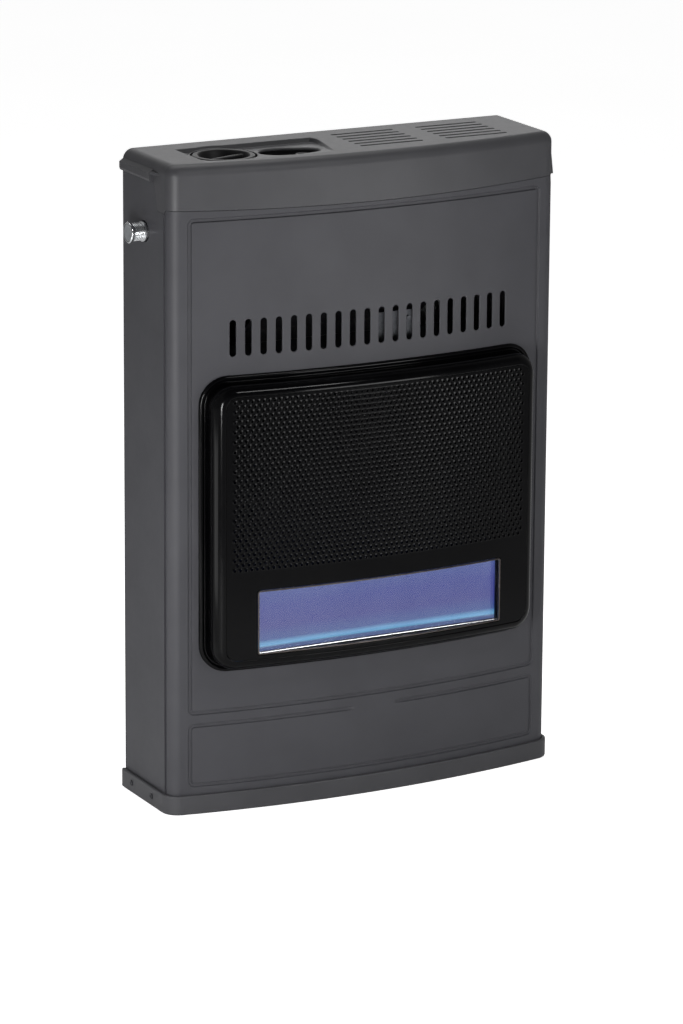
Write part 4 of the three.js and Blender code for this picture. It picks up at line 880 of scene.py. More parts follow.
def swept_loop(inset, proud, half, low, high, corner):
    loop = rounded_loop(-1, 1, -1, 1, 0.5, 2, 9)
    radius = max(corner - inset, 1.2)
    points = []
    x1, z0, z1 = half - inset, low + inset, high - inset
    for cx, cz, start, end in ((x1 - radius, z1 - radius, 0, 90), (-x1 + radius, z1 - radius, 90, 180),
                               (-x1 + radius, z0 + radius, 180, 270), (x1 - radius, z0 + radius, 270, 360)):
        points.append(np.array(arc(cx, cz, radius, start, end, 12)))
    loop = []
    for i, corner_points in enumerate(points):
        loop.append(corner_points)
        following = points[(i + 1) % 4][0]
        parts = 40 if i % 2 == 0 else 12
        t = np.linspace(0, 1, parts + 1)[1:-1, None]
        loop.append(corner_points[-1] * (1 - t) + following * t)
    flat = np.concatenate(loop)
    return np.column_stack([flat[:, 0], bow_y(flat[:, 0], proud), flat[:, 1]])


bead = arc(BEAD_WIDTH / 2, BEAD_HEIGHT - 1.9, 1.9, 180, 0, 10)
bead = [(BEAD_WIDTH / 2 + (x - BEAD_WIDTH / 2) * BEAD_WIDTH / 3.8, h) for x, h in bead]
centre_inset, centre_proud = FLANK + DOME_EDGE, DOME - DOME_EDGE
shoulder_out = [(centre_inset - DOME_EDGE * math.cos(t), centre_proud + DOME_EDGE * math.sin(t))
                for t in np.linspace(0, math.pi / 2, 15)]
shoulder_in = [(centre_inset - (DOME_EDGE - DOME_SHEET) * math.cos(t),
                centre_proud + (DOME_EDGE - DOME_SHEET) * math.sin(t)) for t in np.linspace(math.pi / 2, 0, 8)]
dip = BEAD_HEIGHT - 2.2
bezel_profile = ([(0.0, 0.3), (0.0, 0.9)] + bead
                 + [(BEAD_WIDTH + 0.2, dip), (FLANK - 0.9, dip), (FLANK - 0.3, dip + 0.2),
                    (FLANK, dip + 1.0), (FLANK, 9.0)] + shoulder_out + shoulder_in + [(FLANK + 1.1, 0.3)])
rings = np.array([swept_loop(inset, proud, BEZEL_HALF, BEZEL_LOW, BEZEL_TOP, BEZEL_CORNER)
                  for inset, proud in bezel_profile])
bezel = build("enamelled_bezel", [grid(rings, ring_rows=True, ring_columns=True)], black_enamel)

# %% [markdown]
# The face of the dome is a separate plate with the window opening. Most of it is
# perforated, and Geometry Nodes repeat one small tile with its punched hole: a
# staggered grid of points, one tile on each, merged, and bent to the bow. The
# plate round the perforations is cut to the tiles' stepped edge.

# %% Plain part of the face
WINDOW, WINDOW_CORNER = (-137.0, 137.0, 166.5, 232.7), 2.6
PITCH, ROW_PITCH, COLUMNS, ROWS = 5.8, 5.0, 56, 35
FIELD_LEFT, FIELD_LOW = -PITCH * (COLUMNS + 0.5) / 2, 252.5
FACE_INSET = FLANK + DOME_EDGE + 0.3
face_edge = (-BEZEL_HALF + FACE_INSET, BEZEL_HALF - FACE_INSET, BEZEL_LOW + FACE_INSET, BEZEL_TOP - FACE_INSET)
stepped = []
for row in range(ROWS):
    x = FIELD_LEFT + (row % 2) * PITCH / 2
    stepped += [(x, FIELD_LOW + row * ROW_PITCH), (x, FIELD_LOW + (row + 1) * ROW_PITCH)]
for row in reversed(range(ROWS)):
    x = FIELD_LEFT + (row % 2) * PITCH / 2 + COLUMNS * PITCH
    stepped += [(x, FIELD_LOW + (row + 1) * ROW_PITCH), (x, FIELD_LOW + row * ROW_PITCH)]
corners = [p for i, p in enumerate(stepped) if math.dist(p, stepped[i - 1]) > 1e-6]
stepped = []
for a, b in zip(corners, corners[1:] + corners[:1]):
    parts = max(1, round(abs(b[0] - a[0]) / (PITCH / 2)))
    stepped += [(a[0] + (b[0] - a[0]) * k / parts, a[1] + (b[1] - a[1]) * k / parts) for k in range(parts)]
stepped = np.array(stepped)


def face_point(uv, proud):
    return np.column_stack([uv[:, 0], bow_y(uv[:, 0], proud), uv[:, 1]])


def face_keeps(uv):
    inside = rounded_distance(uv, *face_edge, BEZEL_CORNER - FACE_INSET) < 0
    return inside & (rounded_distance(uv, *WINDOW, WINDOW_CORNER) > 0) & (polygon_distance(uv, stepped) > 0)


loops = [rounded_loop(*face_edge, BEZEL_CORNER - FACE_INSET), stepped]
for grow in (0.0, 0.3, 0.8):
    loops.append(rounded_loop(WINDOW[0] - grow, WINDOW[1] + grow, WINDOW[2] - grow, WINDOW[3] + grow,
                              WINDOW_CORNER + grow, 8, 5))
fill = np.stack(np.meshgrid(np.arange(-165, 166, 6.0), np.arange(165, 252, 6.0)), axis=-1).reshape(-1, 2)
face_patches = skin(lambda uv: face_point(uv, DOME - roll(rounded_distance(uv, *WINDOW, WINDOW_CORNER), 0.8)),
                    lambda uv: face_point(uv, DOME - DOME_SHEET), loops, fill, face_keeps,
                    toward(0, -1, 0), room=1.5,
                    rimmed=lambda m: abs(polygon_distance(m[None], stepped)[0]) > 0.05)
face_plate = build("enamelled_face", face_patches, black_enamel)


# %% One punched tile
def punched_tile(hole=1.4, rim=1.75, foot=2.3, height=0.42, sides=8):
    """A brick of the plate with a punched hole and its raised rim, in XZ with its front towards -Y."""
    half_x, half_z = PITCH / 2, ROW_PITCH / 2
    border = [(-half_x, -half_z), (0, -half_z), (half_x, -half_z),
              (half_x, half_z), (0, half_z), (-half_x, half_z)]
    uv, faces = triangulate([np.array(border), np.array(arc(0, 0, foot, 0, 360, sides)[:-1])], [],
                            lambda c: np.hypot(c[:, 0], c[:, 1]) > foot * 0.9, 0.1)
    shape = bmesh.new()
    tops = [shape.verts.new((x / 1000, 0, z / 1000)) for x, z in uv]
    for face in faces:
        ordered = [tops[k] for k in face]
        a, b, c = [v.co for v in ordered]
        shape.faces.new(ordered if (b - a).cross(c - a).y < 0 else ordered[::-1])
    rings = [[tops[6 + k] for k in range(sides)]]
    for radius, depth in ((rim, -height), (hole + 0.1, -height + 0.1), (hole, 0.2), (hole, DOME_SHEET)):
        rings.append([shape.verts.new((x / 1000, depth / 1000, z / 1000))
                      for x, z in arc(0, 0, radius, 0, 360, sides)[:-1]])
    for outer, inner in zip(rings, rings[1:]):
        for k in range(sides):
            n = (k + 1) % sides
            shape.faces.new([outer[k], outer[n], inner[n], inner[k]])
    for face in shape.faces:
        face.smooth = True
    mesh = bpy.data.meshes.new("punched_tile")
    shape.to_mesh(mesh)
    shape.free()
    tile = bpy.data.objects.new("punched_tile", mesh)
    bpy.context.scene.collection.objects.link(tile)
    print("tile", len(mesh.polygons), "faces, first normal", tuple(round(c, 2) for c in mesh.polygons[0].normal),
          "rim normal", tuple(round(c, 2) for c in mesh.polygons[len(faces)].normal))
    return tile


tile = punched_tile()


# %% Perforations with Geometry Nodes
def tree_with(name, inputs):
    """An empty Geometry Nodes tree with named inputs."""
    tree = bpy.data.node_groups.new(name, "GeometryNodeTree")
    for label, kind in inputs:
        tree.interface.new_socket(label, in_out="INPUT", socket_type=kind)
    tree.interface.new_socket("Geometry", in_out="OUTPUT", socket_type="NodeSocketGeometry")
    return tree, add(tree, "NodeGroupInput").outputs, add(tree, "NodeGroupOutput")


def grown(name, tree, settings):
    """Runs a tree on an empty mesh and returns its plain result, with the modifier gone."""
    holder = bpy.data.objects.new(name + "_holder", bpy.data.meshes.new(name + "_holder"))
    bpy.context.scene.collection.objects.link(holder)
    modifier = holder.modifiers.new("Nodes", "NODES")
    modifier.node_group = tree
    for item in tree.interface.items_tree:
        if item.in_out == "INPUT" and item.name in settings:
            modifier[item.identifier] = settings[item.name]
    bpy.context.view_layer.update()
    mesh = bpy.data.meshes.new_from_object(holder.evaluated_get(bpy.context.evaluated_depsgraph_get()))
    mesh.name = name
    holder.modifiers.remove(modifier)
    bpy.data.objects.remove(holder)
    piece = bpy.data.objects.new(name, mesh)
    bpy.context.scene.collection.objects.link(piece)
    print(name, len(mesh.polygons), "faces")
    return piece


WELD_DISTANCE = 0.00003
tree, given, result = tree_with("perforated field", [
    ("Tile", "NodeSocketObject"), ("Columns", "NodeSocketInt"), ("Rows", "NodeSocketInt"),
    ("Pitch", "NodeSocketFloat"), ("Row pitch", "NodeSocketFloat"), ("Bow radius", "NodeSocketFloat"),
    ("Bow centre", "NodeSocketFloat"), ("Left", "NodeSocketFloat"), ("Low", "NodeSocketFloat"),
    ("Finish", "NodeSocketMaterial")])
column_gaps = add(tree, "ShaderNodeMath", {"operation": "SUBTRACT", 1: 1.0}, {0: given["Columns"]})
width = add(tree, "ShaderNodeMath", {"operation": "MULTIPLY"}, {0: column_gaps.outputs[0], 1: given["Pitch"]})
row_gaps = add(tree, "ShaderNodeMath", {"operation": "SUBTRACT", 1: 1.0}, {0: given["Rows"]})
height = add(tree, "ShaderNodeMath", {"operation": "MULTIPLY"}, {0: row_gaps.outputs[0], 1: given["Row pitch"]})
points = add(tree, "GeometryNodeMeshGrid", {}, {"Vertices X": given["Columns"], "Vertices Y": given["Rows"],
                                                "Size X": width.outputs[0], "Size Y": height.outputs[0]})
spot = add(tree, "ShaderNodeSeparateXYZ", {}, {"Vector": add(tree, "GeometryNodeInputPosition").outputs[0]})
half_height = add(tree, "ShaderNodeMath", {"operation": "MULTIPLY", 1: 0.5}, {0: height.outputs[0]})
raised = add(tree, "ShaderNodeMath", {"operation": "ADD"}, {0: spot.outputs["Y"], 1: half_height.outputs[0]})
share = add(tree, "ShaderNodeMath", {"operation": "DIVIDE"}, {0: raised.outputs[0], 1: given["Row pitch"]})
row = add(tree, "ShaderNodeMath", {"operation": "ROUND"}, {0: share.outputs[0]})
odd = add(tree, "ShaderNodeMath", {"operation": "MODULO", 1: 2.0}, {0: row.outputs[0]})
half_pitch = add(tree, "ShaderNodeMath", {"operation": "MULTIPLY", 1: 0.5}, {0: given["Pitch"]})
stagger = add(tree, "ShaderNodeMath", {"operation": "MULTIPLY"}, {0: odd.outputs[0], 1: half_pitch.outputs[0]})
half_width = add(tree, "ShaderNodeMath", {"operation": "MULTIPLY", 1: 0.5}, {0: width.outputs[0]})
column = add(tree, "ShaderNodeMath", {"operation": "ADD"}, {0: spot.outputs["X"], 1: half_width.outputs[0]})
inset = add(tree, "ShaderNodeMath", {"operation": "ADD"}, {0: stagger.outputs[0], 1: half_pitch.outputs[0]})
margin = add(tree, "ShaderNodeMath", {"operation": "ADD"}, {0: given["Left"], 1: inset.outputs[0]})
across = add(tree, "ShaderNodeMath", {"operation": "ADD"}, {0: column.outputs[0], 1: margin.outputs[0]})
middle_row = add(tree, "ShaderNodeMath", {"operation": "ADD", 1: 0.5}, {0: row.outputs[0]})
climb = add(tree, "ShaderNodeMath", {"operation": "MULTIPLY"}, {0: middle_row.outputs[0], 1: given["Row pitch"]})
up = add(tree, "ShaderNodeMath", {"operation": "ADD"}, {0: given["Low"], 1: climb.outputs[0]})
place = add(tree, "ShaderNodeCombineXYZ", {}, {"X": across.outputs[0], "Z": up.outputs[0]})
staggered = add(tree, "GeometryNodeSetPosition", {},
                {"Geometry": points.outputs["Mesh"], "Position": place.outputs[0]})
source = add(tree, "GeometryNodeObjectInfo", {}, {"Object": given["Tile"]})
laid = add(tree, "GeometryNodeInstanceOnPoints", {}, {"Points": staggered.outputs["Geometry"],
                                                      "Instance": source.outputs["Geometry"]})
real = add(tree, "GeometryNodeRealizeInstances", {}, {"Geometry": laid.outputs["Instances"]})
merged = add(tree, "GeometryNodeMergeByDistance", {"Distance": WELD_DISTANCE},
             {"Geometry": real.outputs["Geometry"]})
place = add(tree, "ShaderNodeSeparateXYZ", {}, {"Vector": add(tree, "GeometryNodeInputPosition").outputs[0]})
radius_squared = add(tree, "ShaderNodeMath", {"operation": "POWER", 1: 2.0}, {0: given["Bow radius"]})
x_squared = add(tree, "ShaderNodeMath", {"operation": "POWER", 1: 2.0}, {0: place.outputs["X"]})
squared = add(tree, "ShaderNodeMath", {"operation": "SUBTRACT"},
              {0: radius_squared.outputs[0], 1: x_squared.outputs[0]})
ordinate = add(tree, "ShaderNodeMath", {"operation": "SQRT"}, {0: squared.outputs[0]})
bend = add(tree, "ShaderNodeMath", {"operation": "SUBTRACT"}, {0: given["Bow centre"], 1: ordinate.outputs[0]})
lean = add(tree, "ShaderNodeCombineXYZ", {}, {"Y": bend.outputs[0]})
bent = add(tree, "GeometryNodeSetPosition", {},
           {"Geometry": merged.outputs["Geometry"], "Offset": lean.outputs[0]})
coated = add(tree, "GeometryNodeSetMaterial", {},
             {"Geometry": bent.outputs["Geometry"], "Material": given["Finish"]})
tree.links.new(coated.outputs["Geometry"], result.inputs["Geometry"])

perforations = grown("perforated_field", tree, {
    "Tile": tile, "Columns": COLUMNS, "Rows": ROWS, "Pitch": PITCH / 1000, "Row pitch": ROW_PITCH / 1000,
    "Bow radius": BOW_RADIUS / 1000, "Bow centre": (BOW_CENTRE - DOME) / 1000, "Left": FIELD_LEFT / 1000,
    "Low": (FIELD_LOW - HANG_HEIGHT) / 1000, "Finish": black_enamel})
bpy.data.objects.remove(tile)

# %% [markdown]
# A bright bead frames the window opening, and a polished bar lies along the foot
# of the pane. Both are swept or turned with real round sections, because a round
# section is what draws their thin highlights.

# %% Window trim and sill
def window_ring(inset, proud):
    return swept_loop(inset, proud, WINDOW[1], WINDOW[2], WINDOW[3], WINDOW_CORNER)


trim_profile = ([(0.3, DOME - DOME_SHEET), (0.3, DOME + 0.2)]
                + [(1.0 - 0.7 * math.cos(t), DOME + 0.1 + 0.7 * math.sin(t))
                for t in np.linspace(0.2, math.pi - 0.2, 7)] + [(1.7, DOME + 0.1), (1.7, DOME - DOME_SHEET)])
trim_rings = np.array([window_ring(i, h) for i, h in trim_profile])
trim = build("window_bead", [grid(trim_rings, True, True)], bronze)
sill_y, sill_z, sill_radius, sill_half = -139.1, 167.4, 1.8, 139.5
sill_profile = [(0, -sill_half), (sill_radius - 0.2, -sill_half), (sill_radius, -sill_half + 0.2),
                (sill_radius, sill_half - 0.2), (sill_radius - 0.2, sill_half), (0, sill_half)]
sill = build("polished_sill", [turned(sill_profile, sill_y, sill_z, 32, axis="X")], nickel)

# %% [markdown]
# ## The controls
# The knob is moulded with a dish and a grip bar across it. Both are one smooth
# surface on the real thing, so the top is a height worked out over rings and
# angles: the higher of the dish and the bar, with a soft blend where they meet.

# %% Gas knob
KNOB_RADIUS, KNOB_TOP, KNOB_LOW, DISH_FLOOR, GRIP_TURN = 31.2, 654.8, 636.5, 641.0, math.radians(17)


def knob_height(x, y):
    r = np.hypot(x, y)
    dish = DISH_FLOOR + (KNOB_TOP - DISH_FLOOR) * smooth((r - 19.5) / (26.8 - 19.5)) ** 0.8
    along_bar = x * math.cos(GRIP_TURN) + y * math.sin(GRIP_TURN)
    off_bar = np.abs(-x * math.sin(GRIP_TURN) + y * math.cos(GRIP_TURN))
    crest = KNOB_TOP - 2.2 - 0.1 * off_bar**2 - 0.25 * (along_bar / 25) ** 2
    bar = DISH_FLOOR - 4 + (crest - DISH_FLOOR + 4) * (1 - smooth((off_bar - 2.6) / 2.8))
    soft = 1.0
    blend = np.clip(0.5 + 0.5 * (dish - bar) / soft, 0, 1)
    top = bar * (1 - blend) + dish * blend + soft * blend * (1 - blend)
    return np.minimum(top, KNOB_TOP) - roll(KNOB_RADIUS - r, 1.2)


radii = np.concatenate([np.linspace(0, 19, 26), np.linspace(19.4, 28, 24),
                        np.linspace(28.4, KNOB_RADIUS - 1.3, 5),
                        KNOB_RADIUS - 1.2 * (1 - np.sin(np.linspace(0.1, math.pi / 2, 6)))])
around = np.linspace(0, 2 * math.pi, 180, endpoint=False)
x, y = np.outer(radii, np.cos(around)), np.outer(radii, np.sin(around))
top = np.stack([x + KNOB_X, y + KNOB_Y, knob_height(x, y)], axis=-1)
skirt = [(KNOB_RADIUS, KNOB_TOP - 1.2), (KNOB_RADIUS, KNOB_LOW + 0.8), (KNOB_RADIUS - 0.8, KNOB_LOW)]
under = [(KNOB_RADIUS - 0.8, KNOB_LOW), (8.0, KNOB_LOW)]
boss = [(8.0, KNOB_LOW), (8.0, KNOB_LOW - 8.0), (7.5, KNOB_LOW - 8.5)]
foot = [(7.5, KNOB_LOW - 8.5), (0.0, KNOB_LOW - 8.5)]


def knob_ring_rows(pairs):
    return np.array([np.column_stack([KNOB_X + r * np.cos(around), KNOB_Y + r * np.sin(around),
                                      np.full(len(around), z)]) for r, z in pairs])


from_axis = lambda p: p * [1, 1, 0] - np.array([KNOB_X, KNOB_Y, 0])
knob = build("moulded_knob", [
    grid(top, ring_columns=True, facing=toward(0, 0, 1)),
    grid(knob_ring_rows(skirt), ring_columns=True, facing=from_axis),
    grid(knob_ring_rows(under), ring_columns=True, facing=toward(0, 0, -1)),
    grid(knob_ring_rows(boss), ring_columns=True, facing=from_axis),
    grid(knob_ring_rows(foot), ring_columns=True, facing=toward(0, 0, -1))], moulded_black_and_shade)

# %% Igniter button
SHOULDER_TOP, BUTTON_TOP = 638.2, 651.0
button_profile = ([(0, 630.2), (8.3, 630.2), (8.3, SHOULDER_TOP), (BUTTON_RADIUS, SHOULDER_TOP)]
                  + arc(BUTTON_RADIUS - 1.0, BUTTON_TOP - 1.0, 1.0, 0, 90, 5)
                  + [(5.6, BUTTON_TOP - 0.1), (4.4, BUTTON_TOP - 0.6), (2.5, BUTTON_TOP - 1.0),
                     (0, BUTTON_TOP - 1.1)])
button = build("push_button", [turned(button_profile, *WELL_B, 64)], moulded_black_and_shade)

# %% [markdown]
# ## The gas inlet
# The spigot is turned from brass and nickel plated: a flange at its mouth, one
# against the casing, and between them a pipe thread of 14 turns to the inch. A
# thread is a ridge that climbs as it goes round, so the radius at each place
# depends on the place along the axis plus the angle.

# %% Inlet spigot
INLET_Y, INLET_Z, INLET_RADIUS, NECK_RADIUS = -48.4, 583.5, 10.48, 8.9
THREAD_PITCH, THREAD_DEPTH = 25.4 / 14, 0.75
inlet_x = np.concatenate([[-232.5, -232.2, -229.9, -229.5, -229.2], np.arange(-229.0, -218.2, 0.15),
                          [-218.1, -217.8, -217.5, -215.6, -215.2, -214.8, -214.0]])
turns = np.linspace(0, 2 * math.pi, 72, endpoint=False)
xx, tt = np.meshgrid(inlet_x, turns, indexing="ij")
ridge = 0.5 + 0.5 * np.cos(2 * math.pi * (xx / THREAD_PITCH - tt / (2 * math.pi)))
rim = np.interp(xx, [-232.5, -232.2, -229.9, -229.5, -229.2, -218.1, -217.8, -217.5, -215.6, -215.2, -214.8],
                [INLET_RADIUS - 0.3, INLET_RADIUS, INLET_RADIUS, INLET_RADIUS - 0.5, NECK_RADIUS, NECK_RADIUS,
                 INLET_RADIUS - 0.7, INLET_RADIUS - 0.3, INLET_RADIUS - 0.3, INLET_RADIUS - 0.8, NECK_RADIUS])
on_neck = (xx > -229.1) & (xx < -218.15)
radius = rim - np.where(on_neck, THREAD_DEPTH * (1 - ridge), 0)
thread = np.stack([xx, INLET_Y + radius * np.cos(tt), INLET_Z + radius * np.sin(tt)], axis=-1)


def inlet_rows(pairs):
    return np.array([np.column_stack([np.full(len(turns), x), INLET_Y + r * np.cos(turns),
                                      INLET_Z + r * np.sin(turns)]) for r, x in pairs])


inlet_axis = lambda p: p * [0, 1, 1] - np.array([0, INLET_Y, INLET_Z])
end_radius = INLET_RADIUS - 0.8
collar = [(NECK_RADIUS, -214.0), (NECK_RADIUS, -211.5), (13.0, -211.5), (13.0, -208.5), (INLET_RADIUS, -208.5),
          (INLET_RADIUS, -189.0), (3.0, -189.0), (3.0, -215.0), (7.0, -215.0), (7.0, -231.2), (8.9, -231.2),
          (8.9, -233.0), (end_radius, -233.0), (INLET_RADIUS - 0.3, -232.5)]
inlet_patches = [grid(thread, ring_columns=True, facing=inlet_axis)]
for (r0, x0), (r1, x1) in zip(collar, collar[1:]):
    rows = inlet_rows([(r0, x0), (r1, x1)])
    if x0 == x1:
        facing = toward(-1 if (x0 < -230 or r1 > r0) else 1, 0, 0)
        facing = toward(1, 0, 0) if (r0, x0) in ((13.0, -208.5), (INLET_RADIUS, -189.0)) else facing
    else:
        facing = inlet_axis if x1 > x0 else (lambda p: -inlet_axis(p))
    inlet_patches.append(grid(rows, ring_columns=True, facing=facing))
inlet = build("threaded_spigot", inlet_patches, nickel)


# %% [markdown]
# ## Small fittings
# The tray's screws are pan heads with a cross recess. One head is modelled, and
# Geometry Nodes put a copy at each hole, turned to face outwards.

# %% One screw
def pan_screw(head_radius=3.0, head_height=0.9, shank_radius=1.6, shank_length=10.0):
    """A pan head screw along X with its head at +X and a cross pressed in it."""
    sides, rings = 48, 10
    angle = np.linspace(0, 2 * math.pi, sides, endpoint=False)
    r = np.linspace(0, head_radius - 0.25, rings)
    y, z = np.outer(r, np.cos(angle)), np.outer(r, np.sin(angle))
    slot_y = smooth((0.75 - np.abs(y)) / 0.3) * smooth((1.9 - np.abs(z)) / 0.4)
    slot_z = smooth((0.75 - np.abs(z)) / 0.3) * smooth((1.9 - np.abs(y)) / 0.4)
    crown = head_height - 0.25 * (np.hypot(y, z) / head_radius) ** 2 - 0.55 * np.maximum(slot_y, slot_z)
    top = np.stack([crown, y, z], axis=-1)
    lip = crown[-1].mean()
    pairs = [(head_radius - 0.25, lip), (head_radius, lip - 0.25), (head_radius, 0.0), (shank_radius, 0.0),
             (shank_radius, -shank_length), (0.0, -shank_length)]
    rows = np.array([np.column_stack([np.full(sides, h), q * np.cos(angle), q * np.sin(angle)])
                     for q, h in pairs])
    return [grid(top, ring_columns=True, facing=toward(1, 0, 0)),
            grid(rows[:3], ring_columns=True, facing=lambda p: p * [0, 1, 1]),
            grid(rows[2:4], ring_columns=True, facing=toward(-1, 0, 0)),
            grid(rows[3:5], ring_columns=True, facing=lambda p: p * [0, 1, 1]),
            grid(rows[4:], ring_columns=True, facing=toward(-1, 0, 0))]


shift = np.array([0.0, 0.0, HANG_HEIGHT])
screw = build("pan_screw", [(p + shift, f, n) for p, f, n in pan_screw()], nickel)

# %% Screws at the tray's ends
tree, given, result = tree_with("tray screws", [
    ("Screw", "NodeSocketObject"), ("Reach", "NodeSocketFloat"), ("Height", "NodeSocketFloat"),
    ("First", "NodeSocketFloat"), ("Apart", "NodeSocketFloat"), ("Finish", "NodeSocketMaterial")])
span = add(tree, "ShaderNodeMath", {"operation": "MULTIPLY", 1: 2.0}, {0: given["Reach"]})
ends = add(tree, "GeometryNodeMeshGrid", {"Vertices X": 2, "Vertices Y": 2},
           {"Size X": span.outputs[0], "Size Y": given["Apart"]})
half_apart = add(tree, "ShaderNodeMath", {"operation": "MULTIPLY", 1: 0.5}, {0: given["Apart"]})
middle = add(tree, "ShaderNodeMath", {"operation": "SUBTRACT"}, {0: given["First"], 1: half_apart.outputs[0]})
offset = add(tree, "ShaderNodeCombineXYZ", {}, {"Y": middle.outputs[0], "Z": given["Height"]})
moved = add(tree, "GeometryNodeSetPosition", {},
            {"Geometry": ends.outputs["Mesh"], "Offset": offset.outputs[0]})
spot = add(tree, "ShaderNodeSeparateXYZ", {}, {"Vector": add(tree, "GeometryNodeInputPosition").outputs[0]})
left = add(tree, "FunctionNodeCompare", {"operation": "LESS_THAN", "B": 0.0}, {"A": spot.outputs["X"]})
half_turn = add(tree, "ShaderNodeMath", {"operation": "MULTIPLY", 1: math.pi}, {0: left.outputs["Result"]})
facing_out = add(tree, "ShaderNodeCombineXYZ", {}, {"Z": half_turn.outputs[0]})
source = add(tree, "GeometryNodeObjectInfo", {}, {"Object": given["Screw"]})
laid = add(tree, "GeometryNodeInstanceOnPoints", {},
           {"Points": moved.outputs["Geometry"], "Instance": source.outputs["Geometry"],
            "Rotation": facing_out.outputs[0]})
real = add(tree, "GeometryNodeRealizeInstances", {}, {"Geometry": laid.outputs["Instances"]})
coated = add(tree, "GeometryNodeSetMaterial", {},
             {"Geometry": real.outputs["Geometry"], "Material": given["Finish"]})
tree.links.new(coated.outputs["Geometry"], result.inputs["Geometry"])
SCREW_REACH, SCREW_HEIGHT, SCREW_BACK, SCREW_SPACING = 219.3, 10.7, -23.0, 47.0
tray_screws = grown("tray_screws", tree, {
    "Screw": screw, "Reach": SCREW_REACH / 1000, "Height": (SCREW_HEIGHT - HANG_HEIGHT) / 1000,
    "First": SCREW_BACK / 1000, "Apart": SCREW_SPACING / 1000, "Finish": dark_steel_and_shade})
bpy.data.objects.remove(screw)

# %% [markdown]
# Sheet brackets and castings keep the model's own shape. A copy of each has its
# edges broken by a small bevel, as a press or a file leaves them, and the model's
# own mesh is not touched.

# %% Softened copies
def softened(node, width_mm, material, segments=2):
    """A copy of a CAD node with merged points and small round edges."""
    mesh = frame["nodes"][node].data.copy()
    shape = bmesh.new()
    shape.from_mesh(mesh)
    bmesh.ops.remove_doubles(shape, verts=shape.verts, dist=2e-6)
    bmesh.ops.dissolve_limit(shape, angle_limit=math.radians(0.6), verts=shape.verts, edges=shape.edges)
    shape.to_mesh(mesh)
    shape.free()
    piece = bpy.data.objects.new(node + "_finished", mesh)
    bpy.context.scene.collection.objects.link(piece)
    bevel = piece.modifiers.new("Broken edges", "BEVEL")
    bevel.width, bevel.segments, bevel.limit_method = width_mm / 1000, segments, "ANGLE"
    bevel.angle_limit, bevel.use_clamp_overlap = math.radians(32), True
    even = piece.modifiers.new("Even shading", "WEIGHTED_NORMAL")
    even.weight, even.keep_sharp = 100, True
    mesh.polygons.foreach_set("use_smooth", [True] * len(mesh.polygons))
    bpy.context.view_layer.update()
    done = bpy.data.meshes.new_from_object(piece.evaluated_get(bpy.context.evaluated_depsgraph_get()))
    piece.modifiers.clear()
    piece.data = done
    done.materials.clear()
    done.materials.append(material)
    return piece


soft_nodes = {
    "left_side_panel": (0.35, powder_coat), "right_side_panel": (0.35, powder_coat), "rear_panel": (0.25, zinc),
    "window_frame": (0.4, heat_paint), "firebox": (0.25, heat_paint), "heat_deflector": (0.25, heat_paint),
    # The slot strap, its screw and the burner tube take the dark steel as painted shade for the dim inside of
    # the casing.
    "slot_strap": (0.25, dark_steel_and_shade), "slot_strap_screw": (0.2, dark_steel_and_shade), "burner_tube": (0.15, dark_steel_and_shade),
    "gas_valve_body": (0.5, alloy), "valve_bracket": (0.25, zinc), "injector": (0.2, brass),
    "injector_plate": (0.2, zinc), "pilot_bracket": (0.2, zinc), "upper_firebox_hanger": (0.2, zinc),
    "lower_firebox_hanger": (0.2, zinc), "inlet_plate": (0.2, zinc), "inlet_lock_nut": (0.3, brass),
    "inlet_plug": (0.2, plug_plastic), "piezo_body": (0.4, moulded_black_and_shade),
}
softened_pieces = {node: softened(node, *how) for node, how in soft_nodes.items()}
print("softened", len(softened_pieces), "pieces")

# %% [markdown]
# The flame is drawn as a thin upright glowing curtain. It stands 7 mm in front of
# the burner, not on its ports, so that its glow fills the window from one side.

# %% Flame curtain
FLAME_HALF, FLAME_Y, FLAME_LOW, FLAME_HIGH = 149.4, -108.0, 155.6, 226.0
rows = []
for z in np.linspace(FLAME_LOW, FLAME_HIGH, 12):
    xs = np.linspace(-FLAME_HALF, FLAME_HALF, 60)
    rows.append(np.column_stack([xs, np.full(60, FLAME_Y - 0.6), np.full(60, z)]))
front = np.array(rows)
rear = front + [0, 1.2, 0]
flame_patches = [grid(front, facing=toward(0, -1, 0)), grid(rear, facing=toward(0, 1, 0)),
                 grid(np.stack([front[0], rear[0]]), facing=toward(0, 0, -1)),
                 grid(np.stack([front[-1], rear[-1]]), facing=toward(0, 0, 1)),
                 grid(np.stack([front[:, 0], rear[:, 0]]), facing=toward(-1, 0, 0)),
                 grid(np.stack([front[:, -1], rear[:, -1]]), facing=toward(1, 0, 0))]
flame = build("flame_curtain", flame_patches, flame_glow)

# %% [markdown]
# ## Putting the pieces on the moving model
# Each piece rides on the body that carries it, and stands for the CAD node whose
# place it takes. The nodes that stay in view get the finish of the real piece.

# %% Riding, replacing and finishing
def fit(piece, body, slot, *nodes):
    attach(piece, body)
    if nodes:
        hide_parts(*nodes)


